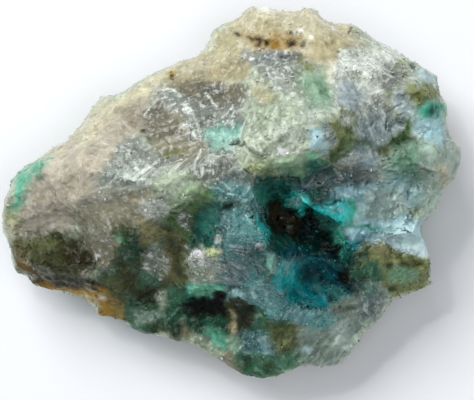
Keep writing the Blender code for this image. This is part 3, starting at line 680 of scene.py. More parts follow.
COURT = [
    ("shadow court", M.TEAL, 0.6, 0.6, [18, 14, 58, 20, 94, 26, 116, 24, 118, 10, 104, 2, 86, -4,
        68, -10, 52, -6, 36, -14, 24, -10, 18, 2]),
    ("court grey", M.LILAC, -0.2, 0.5, [68, 14, 98, 24, 120, 28, 146, 16, 140, 6, 110, 6, 90, 2, 72,
        4], 0.8),
    ("dark seam", M.GREEN, -0.2, 0.3, [108, 14, 134, 14, 148, 12, 140, 7, 112, 10], 0.8, -0.15),
    ("teal corner wall", M.TEAL, 1, 0.4, [18, 4, 30, 6, 32, -10, 30, -28, 24, -20], 0.9),
    ("blue grains", M.ICE, -0.4, 0.4, [60, 8, 74, 12, 80, 2, 68, -4], 0.6),
    ("ice upper", M.ICE, 0, 0.4, [98, 2, 112, 10, 144, 10, 172, 4, 182, -8, 166, -14, 124, -12, 104,
        -5], 1, 0.05),
    ("ice upper light", M.ICE, 0.2, 0.4, [100, 2, 118, 7, 134, 6, 124, -1, 106, -3], 0.7),
    ("ice grey", M.GLASS, 0.6, 0.6, [130, 4, 172, 4, 178, -14, 152, -20, 132, -14], 0.8),
    ("dark gill", M.TEAL, -0.4, 0.3, [72, -5, 88, -4, 106, -6, 102, -12, 80, -13], 1, -0.15),
    ("turquoise wall", M.TURQUOISE, 1, 0.4, [76, -12, 98, -10, 114, -8, 120, -20, 110, -30, 96, -22,
        84, -18]),
    ("pale turquoise", M.ICE, -0.2, 0.4, [90, -12, 110, -11, 112, -20, 98, -20], 0.7, 0.05),
    ("green wall", M.TEAL, 1, 0.35, [111, -7, 120, -5, 125, -18, 120, -30, 111, -28, 114,
        -18], 0.9, -0.05),
    ("spur", M.TURQUOISE, 1.2, 0.25, [54, -3, 60, 0, 70, -2, 74, -11, 71, -19, 67, -23, 63, -15, 57,
        -9], 1, 0.15),
    ("spur light", M.DRUSE, 1.2, 0.2, oval(65, -8, 8, 4.5, 35), 0.75, 0.05),
    ("ice bands", M.ICE, 0.4, 0.6, [124, -12, 152, -16, 178, -20, 188, -28, 200, -42, 198, -56, 172,
        -52, 152, -46, 136, -52, 114, -50, 106, -36, 120, -31]),
    ("ice band grey", M.GLASS, 0.2, 0.5, [128, -16, 160, -14, 172, -22, 152, -28, 130, -26], 0.7),
    ("ice band light", M.ICE, 1, 0.6, [148, -28, 178, -28, 192, -42, 178, -50, 154,
        -42], 0.8, 0.05),
    ("band seam", M.TEAL, 0.8, 0.25, [113, -32, 124, -30, 140, -31, 164, -35, 140, -37, 118,
        -35], 0.8, -0.15),
    ("teal foot", M.TURQUOISE, 0.2, 0.4, [104, -42, 114, -47, 134, -44, 130, -52, 118, -59, 106,
        -56]),
    ("teal foot blue", M.ICE, 0, 0.3, oval(134, -44, 4, 4), 0.7),
]
POCKET = [
    ("pocket", M.BLACK, -0.4, 0.4, [29, -12, 42, -5, 58, -13, 68, -25, 80, -17, 94, -28, 107, -44,
        110, -61, 94, -66, 76, -61, 56, -51, 40, -41, 32, -27]),
    ("pocket rust", M.RUST, 0.6, 0.6, [32, -12, 48, -10, 64, -26, 64, -38, 44, -38, 34, -26], 0.7),
    ("pocket teal", M.TEAL, -0.4, 0.6, [68, -28, 82, -22, 96, -36, 100, -56, 82, -58, 70,
        -46], 0.8),
    ("pocket green wall", M.TEAL, 0.8, 0.4, [88, -20, 98, -26, 110, -40, 116, -56, 109, -63, 102,
        -46, 92, -32]),
    ("green wall glow", M.TEAL, 1.2, 0.3, [99, -32, 106, -36, 114, -50, 110, -58, 104, -48], 0.8),
    ("pocket druse", M.TEAL, 0.2, 0.4, [40, -40, 60, -42, 80, -52, 90, -62, 76, -66, 54, -58, 42,
        -50], 0.8),
    ("pocket grit", M.LOBE, 0.6, 0.14, oval(56, -34, 3, 2), 0.7, 0.05),
    ("pocket grit two", M.MILKY, 0.2, 0.12, oval(49, -24, 1.3, 1.3), 0.7, 0.05),
]
BOWL = [
    ("bowl", M.TURQUOISE, -0.2, 0.5, [52, -62, 68, -56, 86, -63, 104, -68, 116, -80, 122, -96, 114,
        -108, 98, -114, 76, -115, 58, -112, 46, -104, 38, -92, 40, -78]),
    ("bowl west glow", M.TURQUOISE, 0.8, 0.5, [42, -74, 56, -66, 70, -72, 73, -94, 60, -107, 48,
        -105, 40, -92]),
    ("bowl west pale", M.DRUSE, 0.8, 0.5, [48, -64, 60, -64, 58, -78, 48, -80], 0.7),
    ("bowl north", M.TURQUOISE, 0, 0.5, [60, -68, 72, -62, 86, -68, 94, -76, 78, -76, 64,
        -82], 0.9),
    ("bowl deep", M.BLACK, -0.4, 0.5, [68, -76, 80, -74, 94, -78, 90, -88, 74, -92, 68, -86], 0.55),
    ("bowl south", M.TURQUOISE, 0.4, 0.5, [48, -90, 64, -92, 80, -93, 98, -94, 112, -100, 104, -110,
        76, -114, 56, -111, 44, -102]),
    ("bowl streak", M.TEAL, 0.6, 0.3, [80, -84, 85, -84, 88, -98, 82, -100], 0.6, 0.05),
    ("bowl teal rim", M.TEAL, 0.4, 0.4, [94, -92, 108, -92, 114, -100, 108, -108, 96, -106], 0.8),
    ("bowl north rim", M.TURQUOISE, -0.4, 0.4, [44, -56, 68, -52, 84, -60, 68, -64, 52, -64], 0.9),
    ("rust lump", M.RUST, -0.2, 0.3, [101, -76, 111, -72, 120, -76, 122, -88, 115, -95, 105,
        -91], 1, 0.1),
    ("black nook", M.GREEN, -0.4, 0.3, [92, -100, 97, -99, 102, -105, 99, -109, 94,
        -107], 0.9, -0.15),
    ("east nook", M.TEAL, -0.4, 0.4, [110, -90, 124, -88, 134, -96, 130, -108, 116, -106], 0.9),
]
KNOB = [
    ("knob crust", M.OLIVE, 0.6, 0.4, [122, -56, 134, -52, 152, -49, 168, -56, 188, -62, 200, -74,
        201, -90, 188, -99, 162, -104, 150, -98, 140, -90, 124, -86, 118, -72], 1, 0.05),
    ("knob crust green", M.JADE, -0.2, 0.4, [120, -58, 134, -54, 136, -64, 124, -70], 0.9),
    ("knob crust tan", M.BROWN, 1, 0.4, [138, -53, 152, -50, 162, -56, 160, -64, 146,
        -63], 0.9, 0.05),
    ("knob face", M.JADE, 0.2, 0.4, [118, -68, 146, -68, 152, -78, 148, -90, 130, -90, 118,
        -86], 1, -0.05),
    ("knob face pale", M.JADE, 0.8, 0.4, [154, -77, 168, -73, 184, -77, 184, -86, 168, -90, 156,
        -88], 0.9, 0.05),
    ("knob pit b", M.GREEN, -0.4, 0.25, oval(157, -72, 4.5, 3.6, 20), 0.9, -0.15),
    ("knob pit c", M.OLIVE, 0.2, 0.25, [164, -64, 172, -65, 180, -70, 188, -66, 192, -72, 182, -76,
        170, -74], 1, -0.15),
    ("knob pit d", M.GREEN, -0.4, 0.3, [124, -82, 136, -82, 134, -88, 126, -88], 0.8, -0.1),
    ("knob pit e", M.OLIVE, -0.4, 0.25, oval(159, -95, 5, 3), 0.9, -0.1),
    ("knob shade", M.TEAL, -0.2, 0.4, [112, -58, 120, -56, 122, -68, 118, -78, 112,
        -72], 0.8, -0.1),
    ("ledge over knob", M.ICE, 1.2, 0.3, [152, -46, 172, -46, 192, -50, 200, -60, 192, -63, 178,
        -61, 164, -57, 154, -52], 0.95),
]
SOUTH_EAST = [
    ("glass grey", M.GLASS, 0.4, 0.6, [108, -108, 120, -104, 140, -90, 156, -96, 158, -110, 142,
        -126, 128, -146, 118, -166, 102, -180, 72, -176, 64, -156, 68, -134, 86, -116]),
    ("lilac grey", M.LILAC, -0.4, 0.6, [124, -102, 146, -98, 152, -112, 140, -124, 124, -118], 0.8),
    ("teal grey", M.TEAL, 0.6, 0.5, [124, -90, 142, -90, 148, -100, 134, -104], 0.6),
    ("light facet", M.GLASS, 0.8, 0.5, [98, -132, 114, -132, 122, -146, 112, -162, 100, -156], 0.8),
    ("olive facet", M.GLASS, 0, 0.6, [68, -140, 96, -138, 98, -158, 106, -172, 74, -172], 0.8),
    ("olive dusk", M.OLIVE, -0.4, 0.5, [94, -112, 118, -108, 124, -118, 106, -124, 94, -122], 0.7),
    ("white patch", M.ICE, 1, 0.3, oval(72, -156, 8, 2.8), 0.9, 0.05),
    ("blue rubble", M.DRUSE, 0.6, 0.5, [48, -112, 68, -110, 92, -116, 106, -124, 98, -132, 74, -134,
        56, -128]),
    ("blue rubble pale", M.ICE, 0, 0.3, [54, -114, 66, -116, 74, -126, 66, -128, 56,
        -124], 0.7, 0.08),
]
BLOCK = [
    ("drusy block", M.DRUSE, 0.4, 0.5, [-24, -12, 0, -4, 24, -6, 30, -20, 32, -46, 28, -68, 32, -88,
        48, -104, 56, -122, 40, -134, 24, -118, 12, -108, -2, -110, -8, -96, -11, -76, -16, -52,
        -18, -32]),
    ("druse north", M.DRUSE, 0.6, 0.5, [-24, 6, -6, 14, 12, 12, 20, 4, 20, -8, 4, -8, -20, -6]),
    ("druse lilac", M.LILAC, -0.4, 0.5, [-6, 18, 2, 26, 18, 26, 24, 14, 10, 10, -4, 12], 0.8),
    ("druse light", M.DRUSE, 0.8, 0.5, [-10, -18, 8, -18, 24, -26, 26, -44, 8, -48, -8, -40], 0.7),
    ("druse dark", M.DRUSE, 0, 0.5, [2, -54, 20, -52, 28, -60, 24, -70, 6, -70], 0.9, -0.05),
    ("druse lilac low", M.LILAC, 0.2, 0.5, [-10, -68, 8, -68, 12, -82, 4, -94, -6, -90], 0.7),
    ("druse crack", M.BLACK, -0.2, 0.2, [-8, -96, 0, -92, 8, -92, 6, -96, -2, -99], 0.8, -0.15),
    ("druse south", M.DRUSE, 0.8, 0.5, [14, -92, 36, -88, 50, -106, 50, -124, 36, -124, 24,
        -110], 0.9),
    ("moss on druse", M.GREEN, -0.4, 0.3, [-16, -12, -10, -8, 4, -6, 6, -10, -4, -16, -14,
        -18], 1, -0.12),
    ("dark druse nook", M.GREEN, 0.4, 0.25, [-12, 4, 0, 4, 2, -2, -8, -4], 0.8, -0.1),
    # A painted highlight on a white knot of quartz.
    ("druse white knot", M.PAINTED_GLINT, 1, 0.16, oval(26, -52, 3, 2, -20), 0.8, 0.3),
    ("druse white bit", M.MILKY, 1.2, 0.2, [-18, -44, -12, -42, -11, -47, -16, -49], 0.9, 0.1),
    ("druse turquoise", M.TURQUOISE, 1, 0.4, [18, -22, 30, -28, 36, -42, 30, -52, 24, -38], 0.7),
    ("rubble sparkle", M.CYAN, 0.4, 0.3, [34, -60, 44, -62, 44, -78, 38, -82, 34, -72], 0.7, 0.05),
    ("cyan nib", M.DRUSE, 1.2, 0.3, [-3, -104, 4, -96, 10, -98, 11, -106, 4, -112, -3,
        -110], 0.9, 0.1),
    ("sparkling block", M.MILKY, 0, 0.3, [-47, -56, -28, -53, -11, -55, -10, -74, -13, -90, -41,
        -90, -46, -74], 1, 0.08),
    ("sparkling jade", M.PALE, -0.4, 0.4, [-44, -70, -26, -72, -18, -86, -36, -90], 0.8),
    ("sparkling yellow", M.OLIVE, 1, 0.3, [-28, -56, -18, -54, -11, -58, -16, -66, -24,
        -64], 0.8, 0.05),
    # Painted highlights: white flakes laid where the block glints.
    ("big glint", M.PAINTED_GLINT, 1, 0.16, [-45, -58, -38, -55, -31, -56, -26, -60, -34, -63, -42,
        -63], 1, 0.3),
    ("big glint two", M.PAINTED_GLINT, 1, 0.15, [-33, -63, -29, -63, -30, -70, -33, -71], 1, 0.3),
    ("glint nib", M.PAINTED_GLINT, 1, 0.13, oval(-48, -54, 2.4, 1.2), 0.8, 0.3),
    ("glint grit", M.CREAM, 0.6, 0.15, oval(-20, -82, 2.4, 2), 0.8, 0.08),
    ("copper sill", M.TEAL, 0.8, 0.3, [-48, -96, -40, -89, -22, -87, -8, -90, -6, -96, -12, -102,
        -26, -104, -42, -105, -50, -108], 1, 0.08),
    ("copper sill bright", M.TIP, 0.8, 0.3, [-45, -94, -36, -89, -22, -90, -9, -93, -9, -99, -24,
        -103, -36, -104, -46, -101], 0.9, 0.05),
]
TROUGH = [
    ("dark bank", M.GREEN, 0.8, 0.4, [-68, -20, -48, -11, -30, -2, -26, -10, -34, -20, -34, -42,
        -48, -44, -60, -36, -64, -26], 1, -0.1),
    ("trough", M.TEAL, 0.2, 0.4, [-36, -10, -22, 0, -12, -10, -16, -32, -13, -46, -30, -50, -40,
        -44, -36, -26]),
    ("trough green", M.GREEN, 1, 0.4, [-40, 2, -20, 6, -16, -2, -28, -10, -38, -8], 0.7),
    ("trough blue", M.TEAL, 0.8, 0.4, [-32, -20, -18, -14, -14, -34, -24, -44, -32, -36], 0.6),
    ("trough wedge", M.GREY, 0, 0.3, [-56, -20, -46, -18, -41, -25, -42, -37, -50, -35, -54,
        -28], 1, 0.1),
    # A painted highlight: a white flake laid where the wedge glints.
    ("wedge glint", M.PAINTED_GLINT, 1, 0.13, oval(-50, -22, 2, 1.4, 20), 0.9, 0.3),
    ("brown crack", M.OLIVE, 0.4, 0.4, [-78, -26, -64, -30, -54, -42, -48, -58, -40, -82, -48, -92,
        -58, -82, -66, -70, -68, -54, -74, -40], 1, -0.1),
    ("crack black", M.BLACK, 1.2, 0.3, [-68, -44, -60, -46, -56, -56, -50, -68, -46, -82, -54, -82,
        -62, -68], 0.9, -0.1),
    ("crack rust", M.RUST, -0.4, 0.3, [-76, -28, -66, -30, -62, -36, -70, -38], 0.7),
    ("grit strip", M.BROWN, 0.6, 0.4, [-74, -52, -62, -58, -56, -74, -52, -90, -62, -106, -72, -96,
        -74, -74], 0.9, 0.05),
    ("grit pale", M.MILKY, 0, 0.4, [-72, -62, -64, -64, -64, -78, -72, -78], 0.6),
    ("low jade", M.JADE, 0.2, 0.5, [-72, -92, -54, -90, -48, -104, -54, -114, -70, -114], 0.9),
]
LONG_SLOT = [
    ("slot", M.BLACK, -0.4, 0.3, [-52, -108, -32, -106, -10, -100, -2, -106, -4, -124, -22, -124,
        -34, -129, -48, -126, -56, -118]),
    ("slot shadow two", M.BLACK, -0.4, 0.3, [-70, -128, -56, -125, -44, -126, -48, -134, -64,
        -134], 0.9, -0.12),
    ("honeycomb", M.OLIVE, -0.2, 0.3, [-6, -110, 4, -106, 18, -106, 30, -118, 24, -136, 14, -144, 2,
        -146, -6, -138]),
    ("honeycomb black", M.BLACK, 0.8, 0.25, [6, -112, 20, -110, 24, -120, 18, -132, 8,
        -128], 0.9, -0.15),
    ("honeycomb bone", M.TAN, 0.2, 0.2, [-1, -118, 4, -120, 6, -130, 4, -140, -2, -142, -5, -134, 0,
        -128], 1, 0.12),
    ("jade collar", M.JADE, 0.2, 0.4, [24, -114, 34, -114, 40, -130, 34, -144, 24, -144, 24, -130]),
]
DARK_GREEN = [
    ("green mass", M.OLIVE, 0, 0.5, [-118, -38, -106, -34, -90, -40, -82, -54, -80, -78, -68, -98,
        -80, -110, -96, -102, -110, -92, -116, -70]),
    ("green upper", M.JADE, -0.2, 0.5, [-116, -40, -94, -40, -88, -60, -94, -72, -110, -70], 0.85),
    ("teal nib", M.JADE, 0.8, 0.25, oval(-114, -45, 3.5, 3), 0.9, 0.05),
    ("green teal", M.JADE, 0.4, 0.5, [-96, -76, -80, -78, -74, -92, -88, -98, -96, -90], 0.8),
    ("green black", M.BLACK, 1.2, 0.3, [-96, -99, -82, -97, -70, -102, -74, -109, -90,
        -107], 1, -0.12),
    ("olive upper", M.BROWN, 1, 0.5, [-94, -28, -76, -28, -70, -42, -74, -52, -90, -48], 0.9),
    ("grey grit", M.MILKY, -0.2, 0.5, [-88, -56, -72, -52, -70, -68, -76, -82, -86, -78], 0.7),
    # Painted highlights: white flakes laid where the grit glints.
    ("glint one", M.PAINTED_GLINT, 1, 0.13, oval(-82, -62, 2, 1.4, -40), 1, 0.3),
    ("glint two", M.PAINTED_GLINT, 1, 0.13, oval(-86, -70, 1.6, 1.2), 1, 0.3),
    ("glint three", M.PAINTED_GLINT, 1, 0.13, oval(-85, -75, 2.4, 1.2, -40), 1, 0.3),
    ("glint four", M.PAINTED_GLINT, 1, 0.13, oval(-73, -85, 1.6, 1.2), 0.9, 0.3),
    ("glint five", M.PAINTED_GLINT, 1, 0.13, oval(-81, -21, 2, 2.6), 1, 0.3),
    ("glint six", M.PAINTED_GLINT, 1, 0.12, oval(-88, -16, 1.4, 1.2), 0.9, 0.3),
    ("glint seven", M.PAINTED_GLINT, 1, 0.12, oval(-134, -62, 1.8, 1.2), 0.8, 0.3),
    ("glint eight", M.PAINTED_GLINT, 1, 0.12, oval(-136, -66, 2.2, 1), 0.8, 0.3),
    ("grit sparkle", M.MILKY, 0.8, 0.4, [-92, -10, -72, -6, -66, -18, -82, -26, -90,
        -20], 0.7, 0.05),
]
SOUTH = [
    ("jade plate", M.JADE, 0, 0.6, [-110, -108, -84, -110, -66, -114, -48, -118, -50, -128, -68,
        -128, -80, -144, -100, -136, -110, -124]),
    ("jade plate pale", M.LOBE, -0.2, 0.5, [-102, -116, -82, -114, -70, -120, -76, -130, -96,
        -132], 0.9, 0.05),
    ("jade dusk", M.GREEN, 0.2, 0.4, [-86, -130, -70, -128, -68, -140, -82, -144], 1, -0.08),
    ("pale wedge", M.PALE, 0.4, 0.3, [-76, -100, -68, -98, -64, -112, -72, -116], 0.9, 0.08),
    ("south green", M.GREEN, 0, 0.5, [-70, -134, -48, -134, -32, -144, -46, -152, -64, -146]),
    ("south jade", M.JADE, -0.4, 0.5, [-50, -128, -26, -124, -10, -128, -2, -142, -2, -158, -20,
        -158, -38, -148]),
    ("south jade bright", M.TIP, 0.6, 0.5, [-28, -140, -16, -136, -6, -148, -8, -158, -24,
        -154], 0.9),
    ("south jade vein", M.TIP, -0.4, 0.3, [-28, -128, -22, -130, -10, -150, -16, -150], 0.7, 0.05),
    ("mossy rim", M.PALE, 0.4, 0.5, [-56, -144, -34, -144, -16, -156, -6, -170, -24, -164, -46,
        -154], 0.9),
    ("pale rim vein", M.TAN, 0.2, 0.3, [-50, -130, -44, -138, -46, -152, -50, -148], 0.5, 0.05),
    ("pink tail", M.SMOKY, 0.2, 0.5, [-16, -158, -2, -156, 14, -170, 6, -184, -10, -174]),
    ("mint nib", M.MINT, 0.4, 0.4, [-8, -146, 4, -142, 16, -146, 14, -156, 0, -158], 0.9, 0.05),
    ("south druse", M.DRUSE, 0.4, 0.6, [8, -142, 30, -140, 44, -144, 44, -158, 26, -168, 12, -164]),
    ("south ice", M.ICE, 0.2, 0.4, [28, -148, 40, -146, 42, -158, 32, -162], 0.8, 0.05),
    ("south lobe", M.JADE, 0.4, 0.6, [4, -164, 30, -158, 60, -150, 70, -158, 62, -176, 44, -190, 22,
        -192, 6, -184]),
    ("lobe moss", M.GREEN, 0.4, 0.4, [28, -168, 40, -166, 44, -176, 32, -180], 0.9),
    ("lobe olive green", M.OLIVE, 0.2, 0.6, [36, -132, 66, -132, 70, -152, 50, -158, 36,
        -150], 0.9),
    ("lobe dusk", M.GREEN, 0, 0.5, [6, -162, 18, -160, 20, -174, 10, -178], 0.7),
    ("olive gleam", M.OLIVE, 0.6, 0.3, oval(52, -150, 9, 2.4), 0.6),
]
SEAMS = [
    ("prism left edge", M.MILKY, 0.95, 0.16, [-89, 76, -83, 84, -75, 93], 0.9, 0.1),
    ("prism right edge", M.MILKY, 0.5, 0.24, [-73, 94, -64, 84, -54, 67], 0.6, 0.05),
    ("long feather", M.MILKY, 0.85, 0.24, [-70, 105, -60, 104, -53, 98, -47, 86, -42, 72, -38, 58,
        -32, 45], 0.8, 0.08),
    ("feather branch", M.MILKY, 0.7, 0.18, [-82, 100, -76, 104, -68, 104], 0.7, 0.05),
    ("feather branch two", M.MILKY, 0.6, 0.18, [-56, 98, -52, 86, -48, 76], 0.7, 0.05),
    ("feather branch three", M.MILKY, 0.75, 0.2, [-48, 90, -40, 82, -35, 70, -32, 58], 0.8, 0.05),
    ("short bright line", M.MILKY, 0.95, 0.15, [-27, 100, -22, 94, -17, 89, -14, 84], 0.9, 0.08),
    ("pink seam", M.MILKY, 0.85, 0.18, [-46, 18, -40, 28, -34, 36, -31, 47], 0.8, 0.06),
    # A painted highlight along a white line of the crown.
    ("crown line", M.PAINTED_GLINT, 1, 0.15, [40, 126, 45, 116, 52, 121, 62, 129], 0.9, 0.08),
    ("druse outline", M.ICE, 0.85, 0.16, [-14, 6, -6, 0, 6, -2, 14, 0, 18, 8], 0.7, 0.06),
    ("facet ripple two", M.MILKY, 0.7, 0.15, [-131, -15, -126, -20, -124, -28, -122,
        -35], 0.7, 0.05),
    ("white fissure", M.MILKY, 0.95, 0.18, [-104, 44, -106, 34, -99, 26, -95, 18], 0.8, 0.06),
    ("white fissure two", M.MILKY, 0.9, 0.2, [-72, 34, -82, 26, -90, 22, -100, 28], 0.8, 0.06),
    ("white fissure three", M.MILKY, 0.8, 0.18, [-112, 24, -118, 14, -126, 7, -132, 5], 0.7, 0.06),
    # A painted highlight along a streak of the ledge.
    ("ledge streak", M.PAINTED_GLINT, 0.9, 0.14, [51, 37, 58, 41, 68, 46], 0.6, 0.05),
    ("druse crest", M.MILKY, 0.9, 0.16, [18, -25, 24, -32, 29, -42, 27, -52], 0.8, 0.08),
    ("ledge crack", M.BLACK, 0.8, 0.18, [12, 26, 21, 18, 31, 13, 48, 17, 68, 17], 0.8, -0.12),
    ("block crack two", M.TEAL, 0.1, 0.14, [-12, -14, -13, -30, -10, -50, -8, -68], 0.7, -0.1),
    ("rubble crack", M.BLACK, 0.6, 0.15, [42, -111, 48, -106, 54, -102], 0.8, -0.1),
    ("knob ridge line", M.OLIVE, 0.95, 0.16, [134, -54, 154, -51, 168, -60, 188, -64], 0.6, 0.08),
]
ZONES = (GROUND, LEFT, MIDDLE, CROWN, PLATE, EAST, COURT, POCKET, BOWL, KNOB, SOUTH_EAST, BLOCK,
    TROUGH, LONG_SLOT, DARK_GREEN, SOUTH)


@dataclass
class Coat:
    """The look of each point of the skin, laid on mineral by mineral.

    Attributes:
        size: How many points the skin has.
        tint: Linear colour of each point.
        traits: Each further trait of a mineral at each point, by name.
    """

    size: int
    tint: np.ndarray = field(init=False)
    traits: dict[str, np.ndarray] = field(init=False)

    def __post_init__(self) -> None:
        """Starts with nothing on the skin."""
        names = [part.name for part in fields(MineralFinish) if part.name not in ("dark", "light")]
        self.tint = np.zeros((self.size, 3))
        self.traits = {name: np.zeros(self.size) for name in names}

    def lay(self, mineral: Mineral, shade: float, near: np.ndarray, cover: np.ndarray) -> None:
        """Lays a mineral over what is there.

        Args:
            mineral: The mineral.
            shade: Its tone, from its dark to its light.
            near: The points it reaches.
            cover: How much of each of those points it covers.
        """
        finish = mineral.value
        dark, light = np.array(linear(finish.dark)[:3]), np.array(linear(finish.light)[:3])
        tone = dark ** (1 - shade) * light**shade
        self.tint[near] += (tone - self.tint[near]) * cover[:, None]
        for name, values in self.traits.items():
            values[near] += (getattr(finish, name) - values[near]) * cover

    def write(self, mesh: Mesh) -> None:
        """Keeps the look as attributes of the mesh."""
        tint = mesh.attributes.new("tint", "FLOAT_COLOR", "POINT")
        tint.data.foreach_set("color", np.column_stack([self.tint, np.ones(self.size)]).ravel())
        for name, values in self.traits.items():
            keep_trait(mesh, name, values)


@dataclass(frozen=True)
class Fracture:
    """One size of broken facet.

    Attributes:
        size: Width of a facet in millimetres.
        flatness: How flat it is, from 0 to 1.
        lean: How far facets lean away from the skin.
        step: How far facets stand above and below each other, in millimetres.
        contrast: How far facets differ in tone.
        seed: Seed of its random draws.
        apart: How strongly faces that look different ways fall into different facets.
        wander: How far the edges between facets wander, as a share of their width.
        reach: How far a point may move to its facet's plane, as a share of the facet's width.
    """

    size: float
    flatness: float
    lean: float
    step: float
    contrast: float
    seed: int
    apart: float = 0.7
    wander: float = 0.3
    reach: float = 0.25

    def offsets(
        self, points: np.ndarray, normals: np.ndarray, area: float
    ) -> tuple[np.ndarray, np.ndarray, np.ndarray]:
        """Works out the moves that bring points to the planes of their facets.

        Args:
            points: The skin's points, in millimetres.
            normals: Their normals.
            area: The skin's area in square millimetres.

        Returns:
            One move a point, the tone of each point's facet from -1 to 1, and the way that
            its crystal is drawn out.
        """
        draw = random.Random(self.seed)
        wandering = noise_vector_at(points, self.size) * self.wander
        keys = points + (normals * self.apart + wandering) * self.size
        seeds = draw.sample(range(len(points)), int(area / self.size**2))
        tree = kdtree.KDTree(len(seeds))
        for label, seed in enumerate(seeds):
            tree.insert(keys[seed], label)
        tree.balance()
        labels = np.array([tree.find(key)[1] for key in keys])
        counts = np.maximum(np.bincount(labels, minlength=len(seeds)), 1)[:, None]

        def mean(values: np.ndarray) -> np.ndarray:
            """Averages a value over each facet."""
            sums = [np.bincount(labels, values[:, i], len(seeds)) for i in range(3)]
            return np.stack(sums, 1) / counts

        centres, facing = mean(points), mean(normals)
        facing += [[draw.uniform(-1, 1) * self.lean for _ in range(3)] for _ in seeds]
        facing /= np.linalg.norm(facing, axis=1)[:, None] + 1e-9
        steps = np.array([draw.uniform(-1, 1) * self.step for _ in seeds])
        off_plane = ((points - centres[labels]) * facing[labels]).sum(1)
        off_plane = np.clip(off_plane, -self.reach * self.size, self.reach * self.size)
        off_plane *= self.flatness
        tones = np.array([draw.uniform(-1, 1) for _ in seeds])
        turns = np.array([draw.uniform(0, math.pi) for _ in seeds])
        climbs = [draw.uniform(-0.5, 0.5) for _ in seeds]
        ways = np.column_stack([np.cos(turns), np.sin(turns), climbs])
        ways /= np.linalg.norm(ways, axis=1)[:, None]
        moves = facing[labels] * (steps[labels] - off_plane)[:, None]
        return moves, tones[labels], ways[labels]


